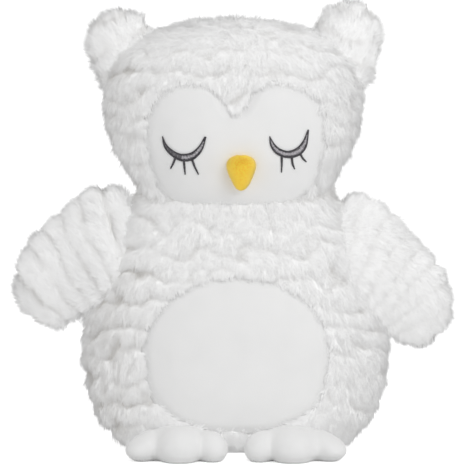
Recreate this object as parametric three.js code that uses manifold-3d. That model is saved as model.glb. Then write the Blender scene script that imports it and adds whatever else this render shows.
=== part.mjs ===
// A sitting plush owl: sewn covers, flat panels and stuffing, each a solid of its own.
// Millimetres. The owl sits on the floor at z = 0, faces -Y, and its left side is at +X.
// Driving sizes stand first, then the tools for soft forms, then one function per sub-part.

import * as THREE from 'three';
import { mergeVertices } from 'three/addons/utils/BufferGeometryUtils.js';
import Module from 'manifold-3d';

const wasm = await Module();
wasm.setup();

// Fabrics and clearances
const pileDepth = 3;
const fabricThickness = 2;
const footFabricThickness = 2;
const beakFabricThickness = 1.2;
const threadDepth = 0.8;
const seamGap = 0.3;
const jointGap = 0.45;
const weldDistance = 0.001;
const cornerGrid = 0.01;

// Body
const bodyHalfWidth = 90;
const bodyHalfDepth = 57;
const neckHeight = 147;
const baseHalfWidth = 57;
const baseHalfDepth = 40.5;
const basePanelThickness = 3;

// The body's plush stands in waved tiers: the crease between two, and the full lips beside it
const tierDepth = 2.6;
const tierLip = 3.2;
const tierSway = 2.4;
const tierCount = 8;
const tierWaves = 9;
const tierTurn = 115;

// Belly panel, an oval in the front cover
const bellyHalfWidth = 52;
const bellyHalfHeight = 41.5;
const bellyHeight = 63.5;

// Head, measured up from the neck seam
const headHalfWidth = 78.5;
const headHalfDepth = 50;
const headHeight = 105.5;

// Face panel, a heart in the front cover, measured up from the neck seam
const faceShift = 1.5;
const faceHalfWidth = 51;
const faceTop = 67;
const faceBottom = -6;

// Neck: how far the head nods in degrees, and the stuffing that joins the head to the body
const headNod = 7;
const neckHalfHeight = 14;
const neckRadius = 28;
const neckEndRadius = 21;

// Pellet pouch in the seat
const pouchHalfWidth = 48;
const pouchHalfDepth = 32;
const pouchHeight = 24;

// Closed eyes, embroidered on the face, measured up from the neck seam
const eyeWidth = 25;
const eyeDrop = 14;
const eyeThickness = 5;
const rightEyeX = -29.3;
const rightEyeHeight = 38.5;
const leftEyeX = 30;
const leftEyeHeight = 40;
const leftEyeTilt = 6;
const lashLength = 7;
const lashWidth = 2;
const lashTipWidth = 1;
const lashAngles = [-35, 3, 19];
const lashPlaceShares = [-0.42, 0, 0.5];

// Beak, measured up from the neck seam
const beakHalfWidth = 8.3;
const beakLength = 20.5;
const beakTop = 28.5;
const beakHalfDepth = 9;
const beakShift = 3;

// Ears: how far their middle lies in from the head's side and down from its top
const earHalfWidth = 20.5;
const earHalfHeight = 22;
const earHalfDepth = 13;
const earInset = 11;
const earDrop = 14.5;
const earTilt = 40;
const earFold = 15;

// Wings: the shoulder and the seam's hinge lie in from the body's side and down from the neck.
// Reach and drop run out and down from the shoulder, and droop is in degrees.
const shoulderInset = 26;
const shoulderDrop = 1;
const wingHalfDepth = 17.5;
const rightWingReach = 66;
const rightWingDrop = 78;
const rightWingDroop = 0;
const leftWingReach = 74;
const leftWingDrop = 82;
const leftWingDroop = 9;
const wingSwing = 25;
const wingHingeInset = 12.5;
const wingHingeDrop = 30;
const wingHingeLean = 22;

// Feet: toes and pad reach forward of the body, and the hinge lies in from its front
const footX = 32.5;
const footFlex = 12;
const soleHeight = 4;
const soleFlat = 0.5;
const middleToeHalfWidth = 12.5;
const middleToeHalfHeight = 10;
const middleToeHalfLength = 18;
const middleToeReach = 20;
const sideToeHalfWidth = 9.5;
const sideToeHalfHeight = 8.5;
const sideToeHalfLength = 16;
const sideToeReach = 14;
const sideToeSpacing = 17.5;
const padHalfWidth = 23;
const padHalfHeight = 9;
const padHalfLength = 19;
const padReach = 7;
const footHingeInset = 15;
const footHingeHeight = 3;

// Facets
const coverSides = 32;
const coverRings = 14;
const tierSides = 32;
const girthSteps = 90;
const innerSides = 24;
const innerRings = 9;
const wingSides = 22;
const wingRings = 4;
const earSides = 16;
const earRings = 8;
const toeSides = 12;
const toeRings = 8;
const innerToeSides = 8;
const innerToeRings = 6;
const beakSides = 14;
const beakRings = 8;
const strokeSteps = 8;
const sweepStep = 15;

// Outlines from the bottom up, as shares of the height, the half-width and the half-depth
const bodyOutlineShares = [
  [0, 0.668, 0.755], [0.028, 0.752, 0.84], [0.068, 0.825, 0.9], [0.118, 0.888, 0.95],
  [0.19, 0.945, 0.985], [0.306, 0.99, 1], [0.408, 1, 1], [0.517, 0.985, 0.985],
  [0.612, 0.952, 0.95], [0.741, 0.888, 0.875], [0.864, 0.8, 0.77], [0.98, 0.667, 0.67],
  [1.03, 0.6, 0.62], [1.08, 0.45, 0.45],
];

// The tiers: their pitch as a share of the neck's height, the rings below and above them, and
// how deep a crease is at the middle of the front
const tierPitchShare = 0.102;
const tierSeatShares = [0, 0.03, 0.055];
const tierNeckShares = [0.9, 0.98, 1.03, 1.08];
const tierFrontShare = 0.55;

const headOutlineShares = [
  [-0.08, 0.6, 0.62], [0, 0.72, 0.79], [0.137, 0.8, 0.9], [0.246, 0.89, 0.965],
  [0.37, 0.965, 0.995], [0.5, 0.99, 1], [0.616, 1, 0.98], [0.74, 0.965, 0.9],
  [0.844, 0.84, 0.75], [0.915, 0.63, 0.54], [0.968, 0.36, 0.31], [1, 0, 0],
];
const beakOutlineShares = [
  [0, 0, 0], [0.04, 0.24, 0.3], [0.2, 0.52, 0.68], [0.42, 0.8, 0.92], [0.66, 0.99, 1],
  [0.85, 0.88, 0.82], [0.96, 0.52, 0.5], [1, 0, 0],
];
const earOutlineShares = [
  [0, 0, 0], [0.07, 0.5, 0.5], [0.25, 0.88, 0.88], [0.5, 1, 1], [0.73, 0.94, 0.88],
  [0.89, 0.7, 0.62], [0.97, 0.38, 0.32], [1, 0, 0],
];

// How full a ring is: 2 is an ellipse, and more is squarer
const bodyFullness = 2.15;
const headFullness = 2.25;
const limbFullness = 2.1;

// Wing outline, as shares of the reach out from the shoulder and of the drop below it
const wingOutlineShares = [
  [0, 0.03], [0.28, 0], [0.51, 0.09], [0.69, 0.19], [0.87, 0.35], [0.99, 0.59], [0.985, 0.75],
  [0.88, 0.91], [0.73, 0.995], [0.54, 0.985], [0.36, 0.9], [0.18, 0.8], [-0.1, 0.62],
  [-0.2, 0.3],
];
const wingMiddleShares = [0.44, 0.5];

// One side of the heart-shaped face, as shares of its half-width and height, from notch to chin
const faceOutlineShares = [
  [0, 0.79], [0.13, 0.89], [0.33, 0.985], [0.57, 1], [0.8, 0.94], [0.95, 0.8], [1, 0.6],
  [0.96, 0.38], [0.84, 0.18], [0.6, 0.05], [0.3, 0],
];

const coverWall = pileDepth + fabricThickness;
const earX = headHalfWidth - earInset;
const earHeight = neckHeight + headHeight - earDrop;
const shoulderX = bodyHalfWidth - shoulderInset;
const shoulderHeight = neckHeight - shoulderDrop;
const innerFacets = { sides: innerSides, rings: innerRings };
const reach = 2 * (bodyHalfWidth + neckHeight + headHeight);
const radians = THREE.MathUtils.degToRad;

const fur = { color: 0xe9e7e3, roughness: 0.95, metalness: 0 };
const velour = { color: 0xf0efec, roughness: 0.9, metalness: 0 };
const stuffing = { color: 0xf7f7f4, roughness: 1, metalness: 0 };
const pellets = { color: 0xd8d4cc, roughness: 0.8, metalness: 0 };
const yellow = { color: 0xecc23c, roughness: 0.85, metalness: 0 };
const thread = { color: 0x3f3d42, roughness: 0.55, metalness: 0 };

// A closed geometry as a solid, and a solid as a geometry
function solidOf(geometry) {
  const bare = geometry.clone();
  for (const name of Object.keys(bare.attributes)) {
    if (name !== 'position') bare.deleteAttribute(name);
  }
  const merged = mergeVertices(bare, weldDistance);
  const corners = merged.index.array;
  const triangles = [];
  for (let i = 0; i < corners.length; i += 3) {
    const [a, b, c] = [corners[i], corners[i + 1], corners[i + 2]];
    if (a !== b && b !== c && c !== a) triangles.push(a, b, c);
  }
  return new wasm.Manifold(new wasm.Mesh({
    numProp: 3,
    vertProperties: new Float32Array(merged.attributes.position.array),
    triVerts: new Uint32Array(triangles),
  }));
}

function geometryOf(solid) {
  const mesh = solid.getMesh();
  const geometry = new THREE.BufferGeometry();
  geometry.setAttribute('position', new THREE.BufferAttribute(mesh.vertProperties, 3));
  geometry.setIndex(new THREE.BufferAttribute(mesh.triVerts, 1));
  return geometry;
}

function moved(solid, matrix) {
  const geometry = geometryOf(solid);
  geometry.applyMatrix4(matrix);
  return solidOf(geometry);
}

// A closed skin over rings that hold equally many points, with a pole beyond each end
function skinOverRings(rings, firstPole, lastPole) {
  const sides = rings[0].length;
  const points = [firstPole, ...rings.flat(), lastPole];
  const last = rings.length - 1;
  const at = (ring, side) => 1 + ring * sides + (side % sides);
  const index = [];
  for (let side = 0; side < sides; side += 1) {
    index.push(0, at(0, side + 1), at(0, side));
    index.push(points.length - 1, at(last, side), at(last, side + 1));
    for (let ring = 0; ring < last; ring += 1) {
      index.push(at(ring, side), at(ring, side + 1), at(ring + 1, side + 1));
      index.push(at(ring, side), at(ring + 1, side + 1), at(ring + 1, side));
    }
  }
  const geometry = new THREE.BufferGeometry().setFromPoints(points);
  geometry.setIndex(index);
  return solidOf(geometry);
}

// Cosine or sine bent outward, so that a round ring becomes a fuller one
function fuller(value, fullness) {
  return Math.sign(value) * Math.abs(value) ** (2 / fullness);
}

// A soft form's smooth outline: its half-width, half-depth and height, from the bottom up
function girthCurve({ shares, bottom, height, halfWidth, halfDepth }) {
  return new THREE.CatmullRomCurve3(shares.map(([up, wide, deep]) => (
    new THREE.Vector3(halfWidth * wide, halfDepth * deep, bottom + height * up)
  )));
}

function pointOnGirth(girth, angle, fullness) {
  const x = girth.x * fuller(Math.cos(angle), fullness);
  const y = girth.y * fuller(Math.sin(angle), fullness);
  return new THREE.Vector3(x, y, girth.z);
}

function anglesOf(sides) {
  return Array.from({ length: sides }, (_, side) => (2 * Math.PI * side) / sides);
}

// A soft form that swells and tapers along a smooth outline, upright on the height "bottom"
function softForm({ fullness, sides, rings, ...sizes }) {
  const steps = girthCurve(sizes).getSpacedPoints(rings);
  const stack = steps.filter((step) => step.x > weldDistance).map((step) => (
    anglesOf(sides).map((angle) => pointOnGirth(step, angle, fullness))
  ));
  const firstPole = new THREE.Vector3(0, 0, steps[0].z);
  const lastPole = new THREE.Vector3(0, 0, steps[rings].z);
  return skinOverRings(stack, firstPole, lastPole);
}

// The body and the head. "grow" sets their surface outward, or inward where it is negative.
function bodySizes(grow, bottom) {
  return {
    shares: bodyOutlineShares, bottom, height: neckHeight - bottom, fullness: bodyFullness,
    halfWidth: bodyHalfWidth + grow, halfDepth: bodyHalfDepth + grow,
  };
}

function bodyForm(grow, { bottom = -grow, sides = coverSides, rings = coverRings } = {}) {
  return softForm({ ...bodySizes(grow, bottom), sides, rings });
}

// The body's girth at a height, from the girths along its smooth outline
function girthAt(girths, height) {
  const above = girths.findIndex((girth) => girth.z > height);
  const upper = above < 0 ? girths.length - 1 : Math.max(above, 1);
  const [low, high] = [girths[upper - 1], girths[upper]];
  return low.clone().lerp(high, (height - low.z) / (high.z - low.z));
}

// The rings of one crease: the lip below it, its bottom and the lip above it
function creaseLevels(tier) {
  const height = tier * tierPitchShare * neckHeight;
  const phase = tier * radians(tierTurn);
  return [[-tierLip, 0], [0, tierDepth], [tierLip, 0]].map(([rise, depth]) => (
    { height: height + rise, depth, sway: tierSway, phase }
  ));
}

// The body's outside in plush: tiers that wave round it, creased most deeply at the sides
function tieredBody() {
  const girths = girthCurve(bodySizes(0, 0)).getSpacedPoints(girthSteps);
  const plain = (share) => ({ height: share * neckHeight, depth: 0, sway: 0, phase: 0 });
  const tiers = Array.from({ length: tierCount }, (_, tier) => creaseLevels(tier + 1));
  const levels = [...tierSeatShares.map(plain), ...tiers.flat(), ...tierNeckShares.map(plain)];
  const stack = levels.map(({ height, depth, sway, phase }) => anglesOf(tierSides).map((angle) => {
    const girth = girthAt(girths, height - sway * Math.sin(tierWaves * angle + phase));
    const inset = depth * (tierFrontShare + (1 - tierFrontShare) * Math.abs(Math.cos(angle)));
    girth.x -= inset;
    girth.y -= inset;
    return pointOnGirth(girth, angle, bodyFullness);
  }));
  const poles = [levels[0], levels[levels.length - 1]].map(({ height }) => new THREE.Vector3(0, 0, height));
  return skinOverRings(stack, ...poles);
}

function headForm(grow, { sides = coverSides, rings = coverRings } = {}) {
  return softForm({
    shares: headOutlineShares, bottom: neckHeight, height: headHeight + grow, sides, rings,
    halfWidth: headHalfWidth + grow, halfDepth: headHalfDepth + grow, fullness: headFullness,
  });
}

// The half space in front of the side seams (-1) or behind them (+1)
function besideSeam(way) {
  const box = new THREE.BoxGeometry(reach, reach, reach);
  box.translate(0, (way * (reach + seamGap)) / 2, 0);
  return solidOf(box);
}

// The half space above (+1) or below (-1) a height
function fromHeight(height, way) {
  const box = new THREE.BoxGeometry(reach, reach, reach);
  box.translate(0, 0, height + (way * reach) / 2);
  return solidOf(box);
}

// A flat outline of X and Z, run forward from the middle of the owl
function frontPrism(shape, curveSegments) {
  const prism = new THREE.ExtrudeGeometry(shape, { depth: reach, bevelEnabled: false, curveSegments });
  prism.rotateX(Math.PI / 2);
  return solidOf(prism);
}

const front = besideSeam(-1);
const back = besideSeam(1);
const belowNeck = fromHeight(neckHeight, -1);
const aboveNeck = fromHeight(neckHeight, 1);

// A shape turned about the neck's upright axis, from radii and heights beside the neck seam
function turnedAtNeck(profile, sides) {
  const points = profile.map(([radius, height]) => new THREE.Vector2(radius, height));
  const ring = new THREE.LatheGeometry(points, sides);
  ring.rotateX(Math.PI / 2);
  ring.translate(0, 0, neckHeight);
  return solidOf(ring);
}

// The crease between body and head: two shallow cones that leave the head room to nod
function neckCrease() {
  const rise = bodyHalfWidth * Math.tan(radians(headNod / 2)) + seamGap;
  const profile = [
    [0, -seamGap], [bodyHalfWidth, -rise], [bodyHalfWidth, rise], [0, seamGap],
  ];
  return turnedAtNeck(profile, coverSides);
}

// The neck's stuffing is a barrel let into the body and the head, with a rim that fills the crease
function neckBarrel(grow) {
  const end = neckHalfHeight + grow;
  const profile = [
    [0, -end], [neckEndRadius + grow, -end], [neckRadius + grow, 0],
    [neckEndRadius + grow, end], [0, end],
  ];
  return turnedAtNeck(profile, innerSides);
}

function neckStuffing() {
  const slope = Math.tan(radians(headNod / 2));
  const [inner, outer] = [neckEndRadius, bodyHalfWidth];
  const profile = [
    [inner, -inner * slope], [outer, -outer * slope], [outer, outer * slope],
    [inner, inner * slope], [inner, -inner * slope],
  ];
  const rim = turnedAtNeck(profile, coverSides).intersect(bodyForm(-fabricThickness));
  return neckBarrel(0).add(rim);
}

const crease = neckCrease();
const neckPocket = neckBarrel(seamGap);
const bodyLining = bodyForm(-coverWall, { bottom: basePanelThickness, ...innerFacets });
const headLining = headForm(-coverWall, innerFacets);

// Outlines of the belly, the face and the seat. "inset" draws a panel in from its opening.
function bellyPrism(inset) {
  const oval = new THREE.Shape();
  oval.absellipse(0, bellyHeight, bellyHalfWidth - inset, bellyHalfHeight - inset, 0, 2 * Math.PI);
  return frontPrism(oval, innerSides);
}

function facePrism(inset) {
  const height = faceTop - faceBottom - 2 * inset;
  const point = ([wide, up], side) => new THREE.Vector2(
    faceShift + side * wide * (faceHalfWidth - inset),
    neckHeight + faceBottom + inset + up * height,
  );
  const left = faceOutlineShares.map((share) => point(share, 1));
  const right = faceOutlineShares.slice(1).reverse().map((share) => point(share, -1));
  const heart = new THREE.Shape();
  heart.moveTo(left[0].x, left[0].y);
  heart.splineThru([...left.slice(1), ...right]);
  heart.lineTo(left[0].x, left[0].y);
  return frontPrism(heart, 2);
}

function seatPrism(inset, height) {
  const oval = new THREE.Shape();
  oval.absellipse(0, 0, baseHalfWidth - inset, baseHalfDepth - inset, 0, 2 * Math.PI);
  const options = { depth: height, bevelEnabled: false, curveSegments: innerSides };
  return solidOf(new THREE.ExtrudeGeometry(oval, options));
}

// The pouch of pellets lies on the base panel and is round above
function pouch(grow) {
  const seat = basePanelThickness + seamGap;
  const ball = new THREE.SphereGeometry(1, innerSides, innerRings);
  ball.rotateX(Math.PI / 2);
  ball.scale(pouchHalfWidth + grow, pouchHalfDepth + grow, pouchHeight + grow);
  ball.translate(0, 0, seat);
  return solidOf(ball).intersect(fromHeight(seat - grow, 1));
}

function bodyCovers() {
  const wall = tieredBody().subtract(bodyLining).intersect(belowNeck).subtract(crease)
    .subtract(seatPrism(-seamGap, coverWall));
  return [wall.subtract(bellyPrism(0)).intersect(front), wall.intersect(back)];
}

function bellyPanel() {
  const layer = bodyForm(-pileDepth).subtract(bodyLining);
  return layer.intersect(bellyPrism(seamGap)).intersect(front);
}

function bodyStuffing() {
  const bottom = basePanelThickness + seamGap;
  return bodyForm(-coverWall - seamGap, { bottom, ...innerFacets }).intersect(belowNeck).subtract(crease)
    .subtract(neckPocket).subtract(pouch(seamGap));
}

function headCovers() {
  const wall = headForm(0).subtract(headLining).intersect(aboveNeck).subtract(crease);
  return [wall.subtract(facePrism(0)).intersect(front), wall.intersect(back)];
}

function facePanel() {
  const layer = headForm(-pileDepth).subtract(headLining);
  return layer.intersect(facePrism(seamGap)).intersect(front).intersect(aboveNeck)
    .subtract(crease);
}

function headStuffing() {
  return headForm(-coverWall - seamGap, innerFacets).intersect(aboveNeck).subtract(crease)
    .subtract(neckPocket);
}

// A closed eye sags between its two corners, and its lashes fan out below it
function eye(x, height, tilt) {
  const half = eyeWidth / 2;
  const crescent = new THREE.Shape();
  crescent.moveTo(-half, 0);
  crescent.quadraticCurveTo(0, -2 * eyeDrop, half, 0);
  crescent.quadraticCurveTo(0, -2 * (eyeDrop - eyeThickness), -half, 0);
  let strokes = frontPrism(crescent, strokeSteps);
  lashAngles.forEach((angle, i) => {
    strokes = strokes.add(frontPrism(lash(angle, lashPlaceShares[i]), 1));
  });
  const turn = new THREE.Matrix4().makeRotationY(radians(-tilt));
  turn.setPosition(x, 0, neckHeight + height);
  const layer = headForm(seamGap + threadDepth - pileDepth).subtract(headForm(seamGap - pileDepth));
  return moved(strokes, turn).intersect(layer).intersect(front);
}

// A lash starts on the crescent's middle line, at a share of its half-width, and tapers
function lash(angle, place) {
  const sag = 1 - place ** 2;
  const root = new THREE.Vector2(place * eyeWidth / 2, -sag * (eyeDrop - eyeThickness / 2));
  const down = new THREE.Vector2(Math.sin(radians(angle)), -Math.cos(radians(angle)));
  const across = new THREE.Vector2(-down.y, down.x);
  const tip = root.clone().addScaledVector(down, lashLength + sag * eyeThickness / 2);
  const corner = (point, width) => point.clone().addScaledVector(across, width / 2);
  return new THREE.Shape([
    corner(root, -lashWidth), corner(tip, -lashTipWidth),
    corner(tip, lashTipWidth), corner(root, lashWidth),
  ]);
}

// The beak is a blunt drop with its tip down, sewn on the face
function beakForm(grow) {
  const drop = softForm({
    shares: beakOutlineShares, bottom: neckHeight + beakTop - beakLength - grow,
    height: beakLength + 2 * grow, halfWidth: beakHalfWidth + grow,
    halfDepth: beakHalfDepth + grow, fullness: limbFullness, sides: beakSides, rings: beakRings,
  });
  const seat = new THREE.Matrix4().makeTranslation(beakShift, pileDepth - headHalfDepth, 0);
  return moved(drop, seat);
}

function beakParts() {
  const face = headForm(seamGap - pileDepth);
  const cover = beakForm(0).subtract(beakForm(-beakFabricThickness)).subtract(face);
  const filling = beakForm(-beakFabricThickness - seamGap).subtract(face);
  return [cover.intersect(front), filling.intersect(front)];
}

// The forms that a limb has to clear: its neighbour, turned through the limb's range in steps
function swept(form, hinge, range) {
  const steps = Math.ceil(range / sweepStep);
  return Array.from({ length: 2 * steps + 1 }, (_, i) => {
    const turn = new THREE.Matrix4().makeRotationAxis(hinge.axis, radians(range * (i / steps - 1)));
    const toHinge = new THREE.Matrix4().makeTranslation(hinge.at);
    const fromHinge = new THREE.Matrix4().makeTranslation(hinge.at.clone().negate());
    return moved(form, toHinge.multiply(turn).multiply(fromHinge));
  });
}

// A limb's form, cut back where it meets the body or head that it is sewn to
function cutBack(form, neighbours) {
  return neighbours.reduce((left, neighbour) => left.subtract(neighbour), form);
}

// A limb sewn from two panels over stuffing. "form" and "neighbour" take a growth.
function sewnLimb(form, neighbour, hinge, range) {
  const outer = cutBack(form(0), swept(neighbour(jointGap), hinge, range));
  const inner = cutBack(form(-coverWall), swept(neighbour(jointGap + coverWall), hinge, range));
  const filling = cutBack(
    form(-coverWall - seamGap),
    swept(neighbour(jointGap + coverWall + seamGap), hinge, range),
  );
  const cover = outer.subtract(inner);
  return [cover.intersect(front), cover.intersect(back), filling];
}

// An ear stands on the head's upper corner and leans outward
function earForm(side, grow) {
  const upright = softForm({
    shares: earOutlineShares, bottom: -earHalfHeight - grow, height: 2 * (earHalfHeight + grow),
    halfWidth: earHalfWidth + grow, halfDepth: earHalfDepth + grow, fullness: limbFullness,
    sides: earSides, rings: earRings,
  });
  const place = new THREE.Matrix4().makeRotationY(radians(side * earTilt));
  place.setPosition(side * earX, 0, earHeight);
  return moved(upright, place);
}

function earHinge(side) {
  const axis = new THREE.Vector3(1, 0, 0);
  axis.applyAxisAngle(new THREE.Vector3(0, 1, 0), radians(side * earTilt));
  return { axis, at: new THREE.Vector3(side * earX, 0, earHeight) };
}

function earParts(side) {
  return sewnLimb((grow) => earForm(side, grow), headForm, earHinge(side), earFold);
}

// A wing is a pillow: two panels that meet along its outline
function pillow(outline, middle, halfDepth) {
  const rim = THREE.ShapeUtils.isClockWise(outline) ? outline : [...outline].reverse();
  const rings = [];
  for (let step = 1; step < 2 * wingRings; step += 1) {
    const angle = (Math.PI * step) / (2 * wingRings);
    const share = fuller(Math.sin(angle), limbFullness);
    const depth = -halfDepth * fuller(Math.cos(angle), limbFullness);
    rings.push(rim.map((point) => {
      const place = middle.clone().lerp(point, share);
      return new THREE.Vector3(place.x, depth, place.y);
    }));
  }
  const firstPole = new THREE.Vector3(middle.x, -halfDepth, middle.y);
  const lastPole = new THREE.Vector3(middle.x, halfDepth, middle.y);
  return skinOverRings(rings, firstPole, lastPole);
}

function wingForm(wing, grow) {
  const shoulder = new THREE.Vector2(wing.side * shoulderX, shoulderHeight);
  const droop = radians(-wing.side * wing.droop);
  const place = ([out, down]) => (
    new THREE.Vector2(wing.side * (shoulderX + out * wing.reach), shoulderHeight - down * wing.drop)
      .rotateAround(shoulder, droop)
  );
  const middle = place(wingMiddleShares);
  const corners = wingOutlineShares.map(place).map((point) => new THREE.Vector3(point.x, point.y, 0));
  const rim = new THREE.CatmullRomCurve3(corners, true).getSpacedPoints(wingSides).slice(1);
  const outline = rim.map((point) => {
    const spoke = new THREE.Vector2(point.x, point.y).sub(middle);
    return spoke.setLength(spoke.length() + grow).add(middle);
  });
  return pillow(outline, middle, wingHalfDepth + grow);
}

function wingHinge(side) {
  const lean = radians(wingHingeLean);
  const axis = new THREE.Vector3(-side * Math.sin(lean), 0, Math.cos(lean));
  const x = side * (bodyHalfWidth - wingHingeInset);
  return { axis, at: new THREE.Vector3(x, 0, neckHeight - wingHingeDrop) };
}

function wingParts(wing) {
  const hinge = wingHinge(wing.side);
  return sewnLimb((grow) => wingForm(wing, grow), bodyForm, hinge, wingSwing);
}

// A foot has three toes on a pad, and its sole is cut flat
function toe(halfWidth, halfLength, halfHeight, forward, x, grow) {
  const facets = grow < 0 ? [innerToeSides, innerToeRings] : [toeSides, toeRings];
  const ball = new THREE.SphereGeometry(1, ...facets);
  ball.rotateX(Math.PI / 2);
  ball.scale(halfWidth + grow, halfLength + grow, halfHeight + grow);
  ball.translate(x, halfLength - bodyHalfDepth - forward, halfHeight - soleFlat);
  return solidOf(ball);
}

function footForm(side, grow) {
  const x = side * footX;
  const middle = [middleToeHalfWidth, middleToeHalfLength, middleToeHalfHeight, middleToeReach];
  const outer = [sideToeHalfWidth, sideToeHalfLength, sideToeHalfHeight, sideToeReach];
  return toe(...middle, x, grow)
    .add(toe(...outer, x - sideToeSpacing, grow))
    .add(toe(...outer, x + sideToeSpacing, grow))
    .add(toe(padHalfWidth, padHalfLength, padHalfHeight, padReach, x, grow))
    .intersect(fromHeight(-grow, 1));
}

function footHinge(side) {
  const at = new THREE.Vector3(side * footX, footHingeInset - bodyHalfDepth, footHingeHeight);
  return { axis: new THREE.Vector3(1, 0, 0), at };
}

function footParts(side) {
  const hinge = footHinge(side);
  const layer = (grow) => (
    cutBack(footForm(side, grow), swept(bodyForm(jointGap - grow), hinge, footFlex))
  );
  const cover = layer(0).subtract(layer(-footFabricThickness));
  const top = cover.intersect(fromHeight(soleHeight + seamGap / 2, 1));
  const sole = cover.intersect(fromHeight(soleHeight - seamGap / 2, -1));
  return [top, sole, layer(-footFabricThickness - seamGap)];
}

// Puts a solid's corners on a fine grid, so that the slivers that cuts leave close up
function onGrid(solid) {
  const geometry = geometryOf(solid);
  const corners = geometry.attributes.position.array;
  corners.forEach((value, i) => {
    corners[i] = Math.round(value / cornerGrid) * cornerGrid;
  });
  return geometryOf(solidOf(geometry));
}

// A named mesh for each solid
function mesh(name, solid, { color, roughness, metalness }) {
  const material = new THREE.MeshStandardMaterial({ color, roughness, metalness });
  const piece = new THREE.Mesh(onGrid(solid), material);
  piece.name = name;
  return piece;
}

function sewn(name, [frontPanel, backPanel, filling]) {
  const limb = new THREE.Group();
  limb.add(mesh(`${name}_front_plush`, frontPanel, fur));
  limb.add(mesh(`${name}_back_plush`, backPanel, fur));
  limb.add(mesh(`${name}_stuffing`, filling, stuffing));
  return limb;
}

function foot(name, side) {
  const [top, sole, filling] = footParts(side);
  const limb = new THREE.Group();
  limb.add(mesh(`${name}_top_cover`, top, velour));
  limb.add(mesh(`${name}_sole`, sole, velour));
  limb.add(mesh(`${name}_stuffing`, filling, stuffing));
  return limb;
}

function torso() {
  const [frontCover, backCover] = bodyCovers();
  const group = new THREE.Group();
  group.add(mesh('body_front_plush', frontCover, fur));
  group.add(mesh('body_back_plush', backCover, fur));
  group.add(mesh('belly_panel', bellyPanel(), velour));
  group.add(mesh('base_panel', seatPrism(0, basePanelThickness), velour));
  group.add(mesh('pellet_pouch', pouch(0), pellets));
  group.add(mesh('body_stuffing', bodyStuffing(), stuffing));
  return group;
}

function head() {
  const [frontCover, backCover] = headCovers();
  const [beakCover, beakStuffing] = beakParts();
  const group = new THREE.Group();
  group.add(mesh('head_front_plush', frontCover, fur));
  group.add(mesh('head_back_plush', backCover, fur));
  group.add(mesh('face_panel', facePanel(), velour));
  group.add(mesh('head_stuffing', headStuffing(), stuffing));
  group.add(mesh('left_eye_embroidery', eye(leftEyeX, leftEyeHeight, leftEyeTilt), thread));
  group.add(mesh('right_eye_embroidery', eye(rightEyeX, rightEyeHeight, 0), thread));
  group.add(mesh('beak_cover', beakCover, yellow));
  group.add(mesh('beak_stuffing', beakStuffing, stuffing));
  group.add(sewn('left_ear', earParts(1)));
  group.add(sewn('right_ear', earParts(-1)));
  return group;
}

const leftWing = { side: 1, reach: leftWingReach, drop: leftWingDrop, droop: leftWingDroop };
const rightWing = { side: -1, reach: rightWingReach, drop: rightWingDrop, droop: rightWingDroop };

const owl = new THREE.Group();
owl.add(torso());
owl.add(mesh('neck_stuffing', neckStuffing(), stuffing));
owl.add(head());
owl.add(sewn('left_wing', wingParts(leftWing)));
owl.add(sewn('right_wing', wingParts(rightWing)));
owl.add(foot('left_foot', 1));
owl.add(foot('right_foot', -1));

export default owl;
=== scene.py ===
# %% [markdown]
# # A plush owl, sewn and stuffed
# This lesson dresses a measured soft toy: a white owl of rib-waved plush with a smooth face and belly, two closed
# embroidered eyes and a yellow beak. The toy's measured solids come from a frame file. Every cell adds one sewn
# piece to them, and the pieces of the body, head, face, belly, beak, eyes and seat move with the toy's own joints.

# %% Load the measured toy
import math
import bpy
import bmesh
import numpy as np
from mathutils import Matrix, Vector, noise


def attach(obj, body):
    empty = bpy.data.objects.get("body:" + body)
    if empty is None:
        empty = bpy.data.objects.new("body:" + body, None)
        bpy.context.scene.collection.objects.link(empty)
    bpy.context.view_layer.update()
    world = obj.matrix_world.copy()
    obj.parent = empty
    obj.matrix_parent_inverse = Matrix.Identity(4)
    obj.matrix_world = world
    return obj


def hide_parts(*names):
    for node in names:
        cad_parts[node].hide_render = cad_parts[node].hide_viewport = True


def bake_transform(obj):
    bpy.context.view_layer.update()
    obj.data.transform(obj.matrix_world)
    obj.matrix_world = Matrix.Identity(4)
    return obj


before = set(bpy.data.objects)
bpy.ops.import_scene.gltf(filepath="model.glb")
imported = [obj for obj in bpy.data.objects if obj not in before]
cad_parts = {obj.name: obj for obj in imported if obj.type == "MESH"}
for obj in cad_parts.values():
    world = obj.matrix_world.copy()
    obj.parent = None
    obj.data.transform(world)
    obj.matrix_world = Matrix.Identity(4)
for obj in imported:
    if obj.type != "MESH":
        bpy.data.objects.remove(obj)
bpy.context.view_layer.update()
MM = 0.001

# %% [markdown]
# ## The camera
# A soft toy is photographed from a little above its middle with a long lens, so that the face isn't drawn large.
# A lens is set by its angle: the field's width over the distance gives it, and a square picture needs no shift.

# %% Camera
CAMERA_DISTANCE = 4.5
CAMERA_ELEVATION = math.radians(6.5)
PICTURE_SIDE, PIXEL = 464, 0.578 * MM   # the picture's pixels, and what one of them shows of the toy
SENSOR = 36
AIM = Vector((-2.3, 0, 125.3)) * MM

camera = bpy.data.objects.new("camera", bpy.data.cameras.new("camera"))
camera.data.sensor_width = SENSOR
camera.data.lens = SENSOR * CAMERA_DISTANCE / (PICTURE_SIDE * PIXEL)
camera.location = AIM + CAMERA_DISTANCE * Vector((0, -math.cos(CAMERA_ELEVATION), math.sin(CAMERA_ELEVATION)))
camera.rotation_euler = (math.pi / 2 - CAMERA_ELEVATION, 0, 0)
bpy.context.scene.collection.objects.link(camera)
bpy.context.scene.camera = camera
print("lens", round(camera.data.lens, 1), "mm")

# %% [markdown]
# ## Node trees in short lines
# The sky, every finish, the pile and the stitches are node trees. Written out in full, each setting and each link
# takes a line of its own. This helper makes a node with its settings and inputs at once. An input takes a value or
# another node's output, so a tree reads from its first step to its last.

# %% Node helper


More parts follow.
